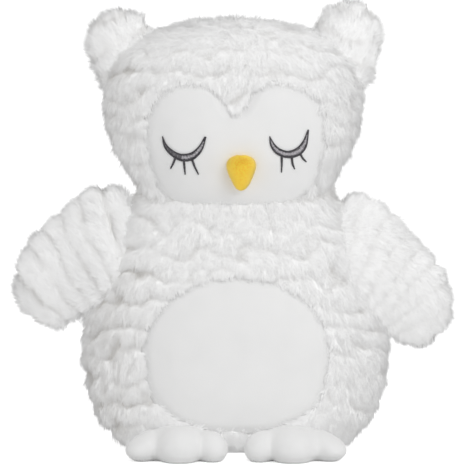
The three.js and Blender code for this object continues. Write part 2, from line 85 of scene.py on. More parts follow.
class Graph:
    """A node tree that is filled in short lines."""

    def __init__(self, tree):
        self.tree = tree

    def put(self, socket, value):
        if hasattr(value, "is_output"):
            self.tree.links.new(value, socket)
        else:
            socket.default_value = value

    def node(self, kind, inputs=None, **settings):
        made = self.tree.nodes.new(kind)
        for key, value in settings.items():
            setattr(made, key, value)
        for key, value in (inputs or {}).items():
            self.put(made.inputs[key], value)
        return made

    def out(self, kind, inputs=None, key=0, **settings):
        """A new node's output, the first one if no other is asked for."""
        return self.node(kind, inputs, **settings).outputs[key]

    def math(self, operation, *values):
        return self.out("ShaderNodeMath", dict(enumerate(values)), operation=operation)

    def vector(self, operation, a, b=None, scale=None):
        inputs = {key: value for key, value in ((0, a), (1, b), (3, scale)) if value is not None}
        return self.out("ShaderNodeVectorMath", inputs, operation=operation)


def group_of(name, kind, inputs, outputs):
    """A node group with named sockets: its graph, what it is given and what it puts out."""
    graph = Graph(bpy.data.node_groups.new(name, kind))
    for way, sockets in (("INPUT", inputs), ("OUTPUT", outputs)):
        for label, socket_kind, *value in sockets:
            socket = graph.tree.interface.new_socket(
                name=label, in_out=way, socket_type="NodeSocket" + socket_kind)
            if value:
                socket.default_value = value[0]
    return graph, graph.node("NodeGroupInput").outputs, graph.node("NodeGroupOutput").inputs


print("node helper:", ", ".join(part for part in vars(Graph) if not part.startswith("_")))


# %% [markdown]
# ## Soft light and a pale floor
# White plush is hard to show: strong lamps burn it out, and the pile's relief is lost. Most of the light therefore
# comes evenly from all round, at a strength where a colour renders about as it is written. One broad lamp from the
# front and the owl's left adds a gentle direction. The white backdrop is only what the camera sees of the sky.

# %% Light, floor and backdrop
scene = bpy.context.scene
scene.view_settings.view_transform = "Standard"
SKY_LIGHT = 0.62    # the even light on the toy, where 1 is white
FLOOR_LIFT = 0.55   # how much brighter the camera sees the floor than it lights the toy
TOY_MIDDLE = (0, 0, 0.12)


def seen_directly(graph):
    """1 where the camera, a reflection or glass looks, and 0 for light that falls on the toy."""
    path = graph.node("ShaderNodeLightPath").outputs
    mirrored = graph.math("MAXIMUM", path["Is Camera Ray"], path["Is Glossy Ray"])
    return graph.math("MAXIMUM", mirrored, path["Is Transmission Ray"])


def sky():
    world = bpy.data.worlds.new("sky")
    world.use_nodes = True
    world.node_tree.nodes.clear()
    graph = Graph(world.node_tree)
    strength = graph.out("ShaderNodeMapRange", {
        "Value": seen_directly(graph), "To Min": SKY_LIGHT, "To Max": 1.0})
    background = graph.out("ShaderNodeBackground", {"Color": (1, 1, 1, 1), "Strength": strength})
    graph.node("ShaderNodeOutputWorld", {0: background})
    return world


def lamp(name, power, at):
    light = bpy.data.lights.new(name, "AREA")
    light.energy = power
    light.shape = "DISK"
    light.size = 0.9
    placed = bpy.data.objects.new(name, light)
    placed.location = Vector(at)
    placed.rotation_euler = (Vector(TOY_MIDDLE) - Vector(at)).to_track_quat("-Z", "Y").to_euler()
    scene.collection.objects.link(placed)


scene.world = sky()
lamp("broad_front", 7.65, (0.7, -1.32, 0.95))
lamp("low_fill", 0.6, (-0.9, -1.2, 0.25))


def floor_finish():
    made = bpy.data.materials.new("pale_floor")
    made.use_nodes = True
    made.node_tree.nodes.clear()
    graph = Graph(made.node_tree)
    matt = graph.out("ShaderNodeBsdfPrincipled", {
        "Base Color": (0.86, 0.86, 0.86, 1), "Roughness": 0.9, "Specular IOR Level": 0.1})
    shown = graph.math("MULTIPLY", seen_directly(graph), FLOOR_LIFT)
    lift = graph.out("ShaderNodeEmission", {"Strength": shown})
    both = graph.out("ShaderNodeAddShader", {0: matt, 1: lift})
    graph.node("ShaderNodeOutputMaterial", {0: both})
    return made


def floor():
    mesh = bpy.data.meshes.new("floor")
    far = 6.0
    mesh.from_pydata([(-far, -far, 0), (far, -far, 0), (far, far, 0), (-far, far, 0)], [], [(0, 1, 2, 3)])
    placed = bpy.data.objects.new("floor", mesh)
    scene.collection.objects.link(placed)
    mesh.materials.append(floor_finish())


floor()
print("lamps:", ", ".join(light.name for light in bpy.data.lights), "and an even sky of", SKY_LIGHT)

# %% [markdown]
# ## The patterns' sizes
# A toy like this is cut from paper patterns, and the same few numbers shape its cover, its filling and its pile.
# They are kept here as the toy's half-widths, half-depths and outlines, measured upward like the patterns.

# %% Sizes
NECK_HEIGHT = 147   # where the head meets the body, all in millimetres
BODY = dict(half_width=90, half_depth=57, bottom=0, height=NECK_HEIGHT, fullness=2.15, outline=[
    (0, 0.62, 0.72), (0.028, 0.725, 0.82), (0.068, 0.812, 0.89), (0.118, 0.888, 0.95),
    (0.19, 0.945, 0.985), (0.306, 0.99, 1), (0.408, 1, 1), (0.517, 0.985, 0.985),
    (0.612, 0.952, 0.95), (0.741, 0.888, 0.875), (0.864, 0.8, 0.77), (0.98, 0.667, 0.67),
    (1.03, 0.6, 0.62), (1.08, 0.45, 0.45)])
HEAD = dict(half_width=78.5, half_depth=50, bottom=NECK_HEIGHT, height=105.5, fullness=2.25, outline=[
    (-0.08, 0.6, 0.62), (0, 0.72, 0.79), (0.137, 0.8, 0.9), (0.246, 0.89, 0.965),
    (0.37, 0.965, 0.995), (0.5, 0.99, 1), (0.616, 1, 0.99), (0.74, 0.965, 0.93),
    (0.844, 0.84, 0.82), (0.915, 0.63, 0.64), (0.968, 0.36, 0.39), (1, 0, 0)], left_share=0.955)
EAR = dict(half_width=20.5, half_depth=13, bottom=-34, height=56, fullness=2.1, outline=[
    (0, 0, 0), (0.05, 0.62, 0.8), (0.18, 1, 1.35), (0.36, 1.07, 1.3), (0.52, 1.03, 1.18), (0.68, 0.98, 1.12),
    (0.81, 0.9, 1.03), (0.91, 0.7, 0.82), (0.97, 0.4, 0.5), (1, 0, 0)])
BEAK = dict(half_width=7.7, half_depth=9, bottom=155.2, height=19.2, fullness=2.1, outline=[
    (0, 0, 0), (0.04, 0.27, 0.3), (0.2, 0.54, 0.66), (0.42, 0.8, 0.9), (0.6, 0.96, 1), (0.72, 1, 0.97),
    (0.84, 0.93, 0.84), (0.93, 0.72, 0.6), (0.98, 0.4, 0.34), (1, 0, 0)])
RIGHT_WING_OUTLINE = [
    (0, -0.08), (0.27, -0.08), (0.5, 0.07), (0.69, 0.19), (0.87, 0.35), (0.99, 0.59), (0.975, 0.75),
    (0.88, 0.91), (0.73, 0.995), (0.54, 0.985), (0.36, 0.9), (0.18, 0.8), (-0.1, 0.62), (-0.2, 0.3)]
LEFT_WING_OUTLINE = [
    (0, -0.02), (0.28, 0.02), (0.51, 0.17), (0.69, 0.29), (0.84, 0.42), (0.93, 0.6), (0.955, 0.73),
    (0.88, 0.88), (0.74, 0.975), (0.6, 0.95), (0.42, 0.86), (0.2, 0.77), (-0.1, 0.62), (-0.2, 0.3)]
HEART_OUTLINE = [
    (0, 0.783), (0.07, 0.798), (0.13, 0.86), (0.19, 0.935), (0.33, 0.99), (0.57, 1), (0.8, 0.94),
    (0.95, 0.8), (1, 0.6), (0.96, 0.38), (0.84, 0.18), (0.6, 0.05), (0.3, 0)]
BELLY = dict(
    middle=0.6, half_width=51.2, half_height=42.8, height=60.6, fullness_above=2.05, fullness_below=2.5)
FACE = dict(shift=-0.3, half_width=49.4, top=213.4, bottom=141, middle=178)
PILE = 4.2          # how deep the pile lies over its backing
PANEL_DEPTH = 2.6   # how far the smooth panels lie below the pile's surface
print("body", 2 * BODY["half_width"], "mm wide, head", 2 * HEAD["half_width"], "mm wide, top at",
      HEAD["bottom"] + HEAD["height"], "mm")


# %% [markdown]
# ## Smooth outlines
# A pattern's outline is drawn through a few points. A spline that passes through each of them, walked in equal
# steps, gives as many points as a mesh needs. The same two helpers serve the round forms and the flat panels.

# %% Outline helpers


def through(points, closed=False, per_span=24):
    """A dense Catmull-Rom line through the points."""
    p = np.array(points, float)
    if closed:
        ring = np.vstack([p[-1], p, p[0], p[1]])
    else:
        ring = np.vstack([2 * p[0] - p[1], p, 2 * p[-1] - p[-2]])
    t = np.linspace(0, 1, per_span, endpoint=False)[:, None]
    spans = []
    for a, b, c, d in zip(ring[:-3], ring[1:-2], ring[2:-1], ring[3:]):
        spans.append(0.5 * (2 * b + (c - a) * t + (2 * a - 5 * b + 4 * c - d) * t**2
                            + (3 * b - a - 3 * c + d) * t**3))
    line = np.vstack(spans)
    return line if closed else np.vstack([line, p[-1]])


def even_steps(line, count, closed=False):
    """The line walked in equal steps."""
    walk = np.vstack([line, line[:1]]) if closed else line
    along = np.concatenate([[0], np.cumsum(np.linalg.norm(np.diff(walk, axis=0), axis=1))])
    at = np.linspace(0, along[-1], count, endpoint=not closed)
    return np.stack([np.interp(at, along, walk[:, k]) for k in range(walk.shape[1])], axis=1)


def bent(value, fullness):
    """Sine or cosine bent outward, so that a round ring becomes a fuller one."""
    return np.sign(value) * np.abs(value) ** (2 / fullness)


def profile(form, grow=0.0):
    """A form's height, half-width and half-depth, in millimetres, from the bottom up."""
    line = through(form["outline"])
    bottom = form["bottom"] - (grow if form["outline"][0][1] == 0 else 0)
    rise = form["bottom"] + form["height"] - bottom + (grow if form["outline"][-1][1] == 0 else 0)
    return np.stack([
        bottom + rise * line[:, 0],
        (form["half_width"] + grow) * np.clip(line[:, 1], 0, None),
        (form["half_depth"] + grow) * np.clip(line[:, 2], 0, None)], axis=1)


print("body's outline:", len(BODY["outline"]), "points, smoothed to", len(profile(BODY)))


# %% [markdown]
# ## Turning outlines into forms
# A stuffed form is a stack of rings, wide where the filling swells. The rings are closed with a point at each end,
# and the walls face outward. Everything is written in metres, in the toy's own place, so no object is moved later.

# %% Form helpers


def piece(name, vertices, faces, smooth=True):
    mesh = bpy.data.meshes.new(name)
    mesh.from_pydata([tuple(v) for v in vertices], [], [tuple(f) for f in faces])
    if smooth:
        mesh.polygons.foreach_set("use_smooth", [True] * len(mesh.polygons))
    mesh.update()
    made = bpy.data.objects.new(name, mesh)
    scene.collection.objects.link(made)
    return made


def wears(obj, finish):
    obj.data.materials.clear()
    obj.data.materials.append(finish)


def ring_faces(rings, sides):
    """Faces of a stack of rings with a pole before the first and after the last."""
    at = lambda ring, side: 1 + ring * sides + side % sides
    last = 1 + rings * sides
    faces = [(0, at(0, s + 1), at(0, s)) for s in range(sides)]
    for r in range(rings - 1):
        faces += [(at(r, s), at(r, s + 1), at(r + 1, s + 1), at(r + 1, s)) for s in range(sides)]
    return faces + [(last, at(rings - 1, s), at(rings - 1, s + 1)) for s in range(sides)]


def side_share(form, x):
    """Hand-sewn forms aren't even: how wide the owl's left half is against its right half."""
    return np.where(x > 0, form.get("left_share", 1.0), 1.0)


def form_points(form, grow, sides, rings):
    """Points and faces of a form's closed skin, grown by so many millimetres."""
    stack = even_steps(profile(form, grow), rings + 2)
    inner = stack[1:-1] if form["outline"][0][1] == 0 else stack[:-1]
    angle = np.linspace(0, 2 * np.pi, sides, endpoint=False)
    x = inner[:, 1:2] * bent(np.cos(angle), form["fullness"])[None]
    x = x * side_share(form, x)
    y = inner[:, 2:3] * bent(np.sin(angle), form["fullness"])[None]
    z = np.repeat(inner[:, 0:1], sides, axis=1)
    body = np.stack([x, y, z], axis=2).reshape(-1, 3)
    points = np.vstack([[0, 0, stack[0, 0]], body, [0, 0, stack[-1, 0]]])
    return points * MM, ring_faces(len(inner), sides)


def halves_at(form, z, grow=0.0, **outside):
    """A form's half-width and half-depth at some heights."""
    line = profile(form, grow)
    line = line[np.argsort(line[:, 0])]
    return [np.interp(z, line[:, 0], line[:, k], **outside) for k in (1, 2)]


def front_y(form, x, z):
    """The depth of a form's front surface at a place of the front view, in millimetres."""
    wide, deep = halves_at(form, z)
    across = x / side_share(form, x)
    inside = np.clip(1 - np.abs(across / np.maximum(wide, 1e-6)) ** form["fullness"], 0, 1)
    return -deep * inside ** (1 / form["fullness"])


def inside_form(form, points, grow):
    """Where points, in millimetres, lie inside a form that is grown or, below zero, shrunk."""
    wide, deep = halves_at(form, points[:, 2], grow, left=0, right=0)
    across = np.abs(points[:, 0]) / side_share(form, points[:, 0])
    share = (across / np.maximum(wide, 0.01)) ** form["fullness"]
    return share + (np.abs(points[:, 1]) / np.maximum(deep, 0.01)) ** form["fullness"] < 1


def coordinates(obj):
    co = np.zeros(len(obj.data.vertices) * 3, np.float32)
    obj.data.vertices.foreach_get("co", co)
    return co.reshape(-1, 3).astype(float)


def normals(obj):
    no = np.zeros(len(obj.data.vertices) * 3, np.float32)
    obj.data.vertex_normals.foreach_get("vector", no)
    return no.reshape(-1, 3).astype(float)


def set_coordinates(obj, co):
    obj.data.vertices.foreach_set("co", co.astype(np.float32).ravel())
    obj.data.update()


def applied(obj):
    """Makes the object's modifiers part of its mesh."""
    made = bpy.data.meshes.new_from_object(obj.evaluated_get(bpy.context.evaluated_depsgraph_get()))
    old = obj.data
    obj.modifiers.clear()
    obj.data = made
    bpy.data.meshes.remove(old)
    made.name = obj.name


def remeshed(obj, size):
    """The same skin in even small faces, so that relief and simulation treat it alike everywhere."""
    even = obj.modifiers.new("even", "REMESH")
    even.mode = "VOXEL"
    even.voxel_size = size * MM
    even.use_smooth_shade = True
    applied(obj)


def relaxed(obj, *rounds):
    """Smooths the skin, once for each number of steps."""
    for steps in rounds:
        relax = obj.modifiers.new("relax", "SMOOTH")
        relax.iterations = steps
    applied(obj)


def unit(vectors):
    return vectors / np.maximum(np.linalg.norm(vectors, axis=1, keepdims=True), 1e-9)


def keep(obj, name, values, kind="FLOAT"):
    """Stores one value, or one vector, for each point of the mesh."""
    made = obj.data.attributes.get(name) or obj.data.attributes.new(name, kind, "POINT")
    field = "vector" if kind == "FLOAT_VECTOR" else "value"
    made.data.foreach_set(field, np.asarray(values, np.float32).ravel())


print("head's front between the eyes:", round(float(front_y(HEAD, FACE["shift"], FACE["middle"])), 1), "mm")


# %% [markdown]
# ## Stuffing by simulation
# A cover is sewn flat and then filled until it is tight. Cloth with pressure inside does the same here: the seams
# are held, and the fabric between them swells a little. Its swelling is capped, because the toy was measured.

# %% Stuffing
FILLING_FRAMES = 20   # how long the filling swells


def stuffed(obj, voxel, held, pressure, cap):
    """Swells the skin by its filling, but by no more than 'cap' millimetres. It is held at its seams: 'held' gives
    a weight from 0 to 1 for each point."""
    remeshed(obj, voxel)
    start = coordinates(obj)
    group = obj.vertex_groups.new(name="held")
    for i, weight in enumerate(held(start / MM)):
        if weight > 0.01:
            group.add([i], float(weight), "REPLACE")
    cloth = obj.modifiers.new("filling", "CLOTH")
    s = cloth.settings
    s.quality = 5
    s.mass = 0.3
    s.tension_stiffness = s.compression_stiffness = 12
    s.bending_stiffness = 0.4
    s.use_pressure = True
    s.uniform_pressure_force = pressure
    s.vertex_group_mass = "held"
    s.effector_weights.gravity = 0
    for f in range(1, FILLING_FRAMES + 1):
        scene.frame_set(f)
    swelled = obj.evaluated_get(bpy.context.evaluated_depsgraph_get())
    co = np.array([v.co for v in swelled.data.vertices], float)
    scene.frame_set(1)
    obj.modifiers.clear()
    obj.vertex_groups.clear()
    move = co - start
    far = np.linalg.norm(move, axis=1, keepdims=True)
    move *= np.minimum(1, cap * MM / np.maximum(far, 1e-9))
    set_coordinates(obj, start + move)
    print(obj.name, "swelled by up to", round(float(np.minimum(far, cap * MM).max() / MM), 2), "mm")


print("a filling swells for", FILLING_FRAMES, "frames")


# %% [markdown]
# ## The wave of the plush
# The pile stands in tiers about 15 mm high that wave round the toy. Each tier is thin under the one above it and
# thick at its lower edge, where it hangs over the next in rounded lobes. The relief is a formula of the place on
# the skin, so it runs on over the seams, and the same formula tells the pile how long it is and how deep it lies.

# %% Rib relief
TIER_TURN = math.radians(115)   # how far the wave of one tier is shifted against the tier below


def smooth_step(low, high, value):
    """0 up to 'low', 1 from 'high' on, and a soft rise between them."""
    t = np.clip((value - low) / (high - low), 0, 1)
    return t * t * (3 - 2 * t)


def clouds(points, size, seed):
    """Soft noise from -1 to 1, with features about 'size' millimetres wide."""
    shift = Vector((seed * 17.3, seed * 5.1, seed * 9.7))
    return np.array([noise.noise(Vector(p) / size + shift) for p in points])


def tiers(points, pitch, waves, lobes, seed):
    """Relief of the waved tiers at points in millimetres: height from 0 to 1, and how near the crease is.
    A whole number of waves and of lobes goes round, so the relief closes at the back."""
    angle = np.arctan2(points[:, 1], points[:, 0])
    row = points[:, 2] / pitch
    sway = 0.16 * np.sin(waves * angle + TIER_TURN * row)
    place = -(row + sway + 0.45 * clouds(points, 32, seed) + 0.4 * clouds(points, 12, seed + 3))
    band = np.floor(place)
    t = place - band
    lobe = lobes * angle / (2 * np.pi) + 0.41 * band + 1.3 * clouds(points, 15, seed + 7)
    between = np.abs(lobe - np.floor(lobe) - 0.5) * 2
    notch = smooth_step(0.5, 1.0, between) * smooth_step(0.2, 0.8, t)
    depth = np.clip(0.6 + 1.1 * clouds(points, 19, seed + 11), 0.1, 1.2)
    crease = 1 - smooth_step(0.0, 0.2, np.minimum(t * 0.75, 1.0 - t))
    near = np.clip(crease * depth + 0.75 * notch * (1.15 - depth), 0, 1)
    swell = 0.8 + 0.2 * np.sin(np.pi * t**1.4)
    middle = 1 - smooth_step(30, 60, np.abs(points[:, 0]))
    near = np.clip(near + (0.08 + 0.3 * middle) * curls(points, 8.0, seed + 13), 0, 1)
    return swell * (1 - near), near


def curls(points, size, seed):
    """Nearness, 0 to 1, of the thin creases between small curled locks."""
    shift = Vector((seed, 2.3 * seed, -1.7 * seed))
    gaps = [noise.voronoi(Vector(p) / size + shift)[0] for p in points * [1, 1, 1.25]]
    return np.array([1 - smooth_step(0.0, 0.3, far[1] - far[0]) for far in gaps])


def ribs_across(along, pitch, points, seed, wobble):
    """Relief of plain rounded ribs that cross a limb: height and nearness of the crease."""
    place = along / pitch + wobble * clouds(points, 30, seed) + 0.5 * wobble * clouds(points, 11, seed + 5)
    t = place - np.floor(place)
    d = 2 * np.minimum(t, 1 - t)
    depth = np.clip(0.65 + 1.3 * clouds(points, 16, seed + 2), 0.12, 1.0)
    near = (1 - smooth_step(0.0, 0.46, d)) * depth
    return (0.85 + 0.15 * d) * (1 - near), near


sample = np.array([[0.0, -57.0, height] for height in (30, 35, 40, 45)])
print("relief up one tier:", tiers(sample, pitch=15.0, waves=9, lobes=46, seed=1.0)[0].round(2))


# %% [markdown]
# ## Where the plush stops
# The belly is an oval and the face a heart, both cut out of the plush. A point of the front is inside a panel if it
# lies inside that outline, and the distance to the outline lets the backing dip under the smooth panel's rim.

# %% Panel outlines
LAP = 0.9   # how far the comb turns over a panel's rim, where 1 is all the way


def heart_line(grow=0.0, count=160):
    """The face's outline, grown by so many millimetres on each side."""
    height = FACE["top"] - FACE["bottom"] + 2 * grow
    wide = FACE["half_width"] + grow
    side = [(FACE["shift"] + w * wide, FACE["bottom"] - grow + u * height) for w, u in HEART_OUTLINE]
    other = [(2 * FACE["shift"] - x, z) for x, z in side[1:]][::-1]
    line = through(side + other)
    return even_steps(np.vstack([line, line[:1]]), count)[:-1]


def oval_line(grow=0.0, count=120):
    """The belly's outline, grown in the same way."""
    angle = np.linspace(0, 2 * np.pi, count, endpoint=False) + np.pi / 2
    fullness = np.where(np.sin(angle) > 0, BELLY["fullness_above"], BELLY["fullness_below"])
    return np.stack([BELLY["middle"] + (BELLY["half_width"] + grow) * bent(np.cos(angle), fullness),
                     BELLY["height"] + (BELLY["half_height"] + grow) * bent(np.sin(angle), fullness)], axis=1)


def depth_inside(line, x, z):
    """Distance inside a closed outline of the front view: negative outside it."""
    p = np.stack([x, z], axis=1)
    near = np.full(len(p), 1e9)
    inside = np.zeros(len(p), bool)
    for (ax, az), (bx, bz) in zip(line, np.roll(line, -1, axis=0)):
        d = np.array([bx - ax, bz - az])
        t = np.clip(((p - [ax, az]) @ d) / (d @ d), 0, 1)
        near = np.minimum(near, np.linalg.norm(p - ([ax, az] + t[:, None] * d), axis=1))
        crosses = (az > p[:, 1]) != (bz > p[:, 1])
        if bz != az:
            inside ^= crosses & (p[:, 0] < (bx - ax) * (p[:, 1] - az) / (bz - az) + ax)
    return np.where(inside, near, -near)


def lapped(comb, points, middle, rim):
    """The comb turned toward the middle of a panel near its rim, so that the pile laps over the seam."""
    inward = np.stack([middle[0] - points[:, 0], np.zeros(len(points)), middle[1] - points[:, 2]], axis=1)
    turned = LAP * rim[:, None]
    return comb * (1 - turned) + unit(inward) * turned


def in_panel(line, points):
    """Distance inside a panel for points of the front, and far outside for the rest."""
    depth = depth_inside(line, points[:, 0], points[:, 2])
    return np.where(points[:, 1] < -5, depth, -99.0)


print("face outline", len(heart_line()), "points, belly outline", len(oval_line()), "points")

# %% [markdown]
# ## Colour of white fabric, with painted shade
# The pile is brightest at its tips and greyer at its roots, painted shade of the fibres above them, and slightly
# warm and dark in the deep creases, painted shade of the tiers. One shared group mixes these from values that each
# tuft carries, so both plush and velour can use it.

# %% Shared shading groups
TUFT_VARIATION = 0.04   # how much one tuft's brightness differs from the next
PILE_SOFTNESS = 0.95    # how much of a tuft's shading follows the skin and not the tuft's own faces


def mixed(graph, factor, a, b):
    return graph.out("ShaderNodeMix", {0: factor, 6: a, 7: b}, key=2, data_type="RGBA")


def uneven(graph, colour, mask, amount):
    """The colour made a little lighter or darker where a mask is above or below one half."""
    scale = graph.math("MULTIPLY_ADD", graph.math("SUBTRACT", mask, 0.5), amount, 1.0)
    return graph.vector("SCALE", colour, scale=scale)


def fibre_group():
    """Colour along a fibre: a root greyer than the tip with painted shade, painted shade in the crease, and a
    little difference from tuft to tuft.
    """
    graph, given, put_out = group_of("fibre colour", "ShaderNodeTree", [
        ("Tip", "Float", 1.0), ("Crease", "Float", 0.0), ("Shade", "Float", 0.5),
        ("Tip Colour", "Color", (0.9, 0.9, 0.9, 1)), ("Root Colour", "Color", (0.7, 0.7, 0.7, 1)),
        ("Crease Colour", "Color", (0.55, 0.54, 0.52, 1)), ("Crease Depth", "Float", 0.75),
        ("Variation", "Float", 0.05)], [("Colour", "Color")])
    along = mixed(graph, given["Tip"], given["Root Colour"], given["Tip Colour"])
    deep = graph.math("MULTIPLY", given["Crease"], given["Crease Depth"])
    shaded = mixed(graph, deep, along, given["Crease Colour"])
    graph.put(put_out["Colour"], uneven(graph, shaded, given["Shade"], given["Variation"]))
    return graph.tree


FIBRE = fibre_group()


def attribute(graph, name, key="Fac"):
    return graph.out("ShaderNodeAttribute", key=key, attribute_name=name)


def finish_of(name, roughness, sheen=0.0, specular=0.2):
    made = bpy.data.materials.new(name)
    made.use_nodes = True
    shader = made.node_tree.nodes["Principled BSDF"].inputs
    for label, value in (("Roughness", roughness), ("Specular IOR Level", specular), ("Sheen Weight", sheen),
                         ("Sheen Roughness", 0.6)):
        shader[label].default_value = value
    return made, Graph(made.node_tree), shader


def pile_finish(name, tip, root, crease, painted_glow):
    """Finish of the standing pile. The skin's own direction softens each tuft's shading, as light that passes
    from fibre to fibre does. The pile also glows in its own colour by 'painted_glow': painted light for the light
    that the fibres pass on to each other. 'crease' is the colour of the shade painted into the creases."""
    made, graph, shader = finish_of(name, 0.95, sheen=0.5, specular=0.05)
    shader["Emission Strength"].default_value = painted_glow
    carried = {label: attribute(graph, label.lower()) for label in ("Tip", "Crease", "Shade")}
    colour = graph.out("ShaderNodeGroup", {
        **carried, "Tip Colour": tip, "Root Colour": root, "Crease Colour": crease,
        "Variation": TUFT_VARIATION}, node_tree=FIBRE)
    graph.put(shader["Base Color"], colour)
    graph.put(shader["Emission Color"], colour)
    turned = graph.out("ShaderNodeVectorTransform", {0: attribute(graph, "skin_normal", "Vector")},
                       vector_type="NORMAL", convert_from="OBJECT", convert_to="WORLD")
    own = graph.out("ShaderNodeNewGeometry", key="Normal")
    soft = graph.out("ShaderNodeMix", {0: PILE_SOFTNESS, 4: own, 5: turned}, key=1, data_type="VECTOR")
    graph.put(shader["Normal"], graph.vector("NORMALIZE", soft))
    return made


# each pile: tip colour, a root colour greyer with painted shade, the colour of painted crease shade, and its
# painted glow
PLUSH = pile_finish(
    "ribbed_plush", (0.82, 0.82, 0.818, 1), (0.77, 0.77, 0.768, 1), (0.33, 0.31, 0.277, 1), 0.58)
YELLOW_PILE = pile_finish(
    "yellow_pile", (0.93, 0.66, 0.085, 1), (0.88, 0.6, 0.062, 1), (0.6, 0.33, 0.03, 1), 0.52)
print("finishes:", PLUSH.name, "and", YELLOW_PILE.name)

# %% [markdown]
# ## The pile
# Pile is thousands of tufts, each a few fibres that cling together. One tuft is a three-sided spike, the fewest
# faces that show from every side. A node tree scatters it over the skin, turns it the way the pile was combed,
# gathers neighbours into locks with a coarse noise, and makes the result real faces. The tree's inputs are the
# sizes that a maker would ask for.

# %% Pile tree


def named(graph, label, kind="FLOAT"):
    return graph.out("GeometryNodeInputNamedAttribute", {"Name": label}, key="Attribute", data_type=kind)


def stored(graph, geometry, label, value, kind="FLOAT"):
    return graph.out("GeometryNodeStoreNamedAttribute", {"Geometry": geometry, "Name": label, "Value": value},
                     data_type=kind, domain="POINT")


def pointed(graph, first, second):
    """A rotation that turns Z to the first direction, and then X as near as it can to the second."""
    upright = graph.out("FunctionNodeAlignRotationToVector", {"Vector": first}, axis="Z")
    return graph.out("FunctionNodeAlignRotationToVector", {"Rotation": upright, "Vector": second},
                     axis="X", pivot_axis="Z")


def made_real(graph, instances, finish):
    """The end of a tree of repeats: real faces, smooth and in their finish."""
    real = graph.out("GeometryNodeRealizeInstances", {0: instances})
    smooth = graph.out("GeometryNodeSetShadeSmooth", {"Geometry": real})
    return graph.out("GeometryNodeSetMaterial", {"Geometry": smooth, "Material": finish})


def pile_tree():
    graph, given, put_out = group_of("standing pile", "GeometryNodeTree", [
        ("Skin", "Geometry"), ("Tufts per Square Metre", "Float", 3.2e6), ("Pile Length", "Float", 0.006),
        ("Tuft Width", "Float", 0.0003), ("Lock Size", "Float", 0.005), ("Lock Strength", "Float", 0.3),
        ("Spread", "Float", 0.22), ("Lowest", "Float", -1.0), ("Highest", "Float", 1.0), ("Side", "Float", 0.0),
        ("Seed", "Int"), ("Finish", "Material")], [("Pile", "Geometry")])
    math_node, vector_node = graph.math, graph.vector

    def random(low, high, seed_shift, kind="FLOAT"):
        first, result = {"FLOAT": (2, 1), "FLOAT_VECTOR": (0, 0)}[kind]
        seed = math_node("ADD", given["Seed"], seed_shift)
        return graph.out("FunctionNodeRandomValue", {first: low, first + 1: high, "Seed": seed}, key=result,
                         data_type=kind)

    # where tufts stand: on the shown part of the skin, between two heights, on one side of the seam
    place = graph.out("GeometryNodeInputPosition")
    apart = graph.node("ShaderNodeSeparateXYZ", {0: place}).outputs
    above = math_node("GREATER_THAN", apart["Z"], given["Lowest"])
    below = math_node("LESS_THAN", apart["Z"], given["Highest"])
    beside = math_node("GREATER_THAN", math_node("MULTIPLY", apart["Y"], given["Side"]), -1e-9)
    here = math_node("MULTIPLY", math_node("MULTIPLY", above, below), beside)
    thick = math_node("MULTIPLY", given["Tufts per Square Metre"], named(graph, "pile_here"))
    scatter = graph.out("GeometryNodeDistributePointsOnFaces", {
        "Mesh": given["Skin"], "Density": math_node("MULTIPLY", thick, here), "Seed": given["Seed"]},
        key="Points", distribute_method="RANDOM")

    # which way they lie: the combed lay, drawn together into locks, with a little disorder
    waves = graph.out("ShaderNodeTexNoise", {
        "Detail": 1.0, "Vector": place, "Scale": math_node("DIVIDE", 1.0, given["Lock Size"])}, key="Color")
    centred = vector_node("SUBTRACT", waves, (0.5, 0.5, 0.5))
    lock = vector_node("SCALE", centred, scale=math_node("MULTIPLY", given["Lock Strength"], 4.0))
    loose = vector_node("SCALE", random((-1, -1, -1), (1, 1, 1), 11, "FLOAT_VECTOR"), scale=given["Spread"])
    drawn = vector_node("ADD", named(graph, "lay", "FLOAT_VECTOR"), lock)
    lay = vector_node("NORMALIZE", vector_node("ADD", drawn, loose))
    bowed = pointed(graph, lay, named(graph, "comb", "FLOAT_VECTOR"))
    spin = graph.out("FunctionNodeAxisAngleToRotation", {"Angle": random(-0.9, 0.9, 23)})
    turn = graph.out("FunctionNodeRotateRotation", {0: bowed, 1: spin}, rotation_space="LOCAL")

    # one tuft: a three-sided spike that knows how far along it each point is
    spike = graph.out("GeometryNodeMeshCone", {
        "Vertices": 3, "Side Segments": 1, "Radius Top": 0.0, "Radius Bottom": 1.0, "Depth": 1.0},
        key="Mesh", fill_type="NONE")
    rise = graph.out("ShaderNodeSeparateXYZ", {0: graph.out("GeometryNodeInputPosition")}, key="Z")
    tuft = stored(graph, spike, "tip", rise)

    # each point keeps the skin's direction and its own shade, then carries one tuft
    facing = stored(graph, scatter, "skin_normal", named(graph, "skin_normal", "FLOAT_VECTOR"), "FLOAT_VECTOR")
    tinted = stored(graph, facing, "shade", random(0.0, 1.0, 37))
    width = math_node("MULTIPLY", given["Tuft Width"], random(0.75, 1.3, 41))
    longest = math_node("MULTIPLY", given["Pile Length"], named(graph, "pile_long"))
    size = graph.out("ShaderNodeCombineXYZ", {
        0: width, 1: width, 2: math_node("MULTIPLY", longest, random(0.72, 1.22, 43))})
    planted = graph.out("GeometryNodeInstanceOnPoints", {
        "Points": tinted, "Instance": tuft, "Rotation": turn, "Scale": size})
    graph.put(put_out["Pile"], made_real(graph, planted, given["Finish"]))
    return graph.tree


PILE_TREE = pile_tree()
DENSE = 3.2e6   # tufts on a square metre


def inputs_of(tree):
    return {s.name: s.identifier for s in tree.interface.items_tree if s.in_out == "INPUT"}


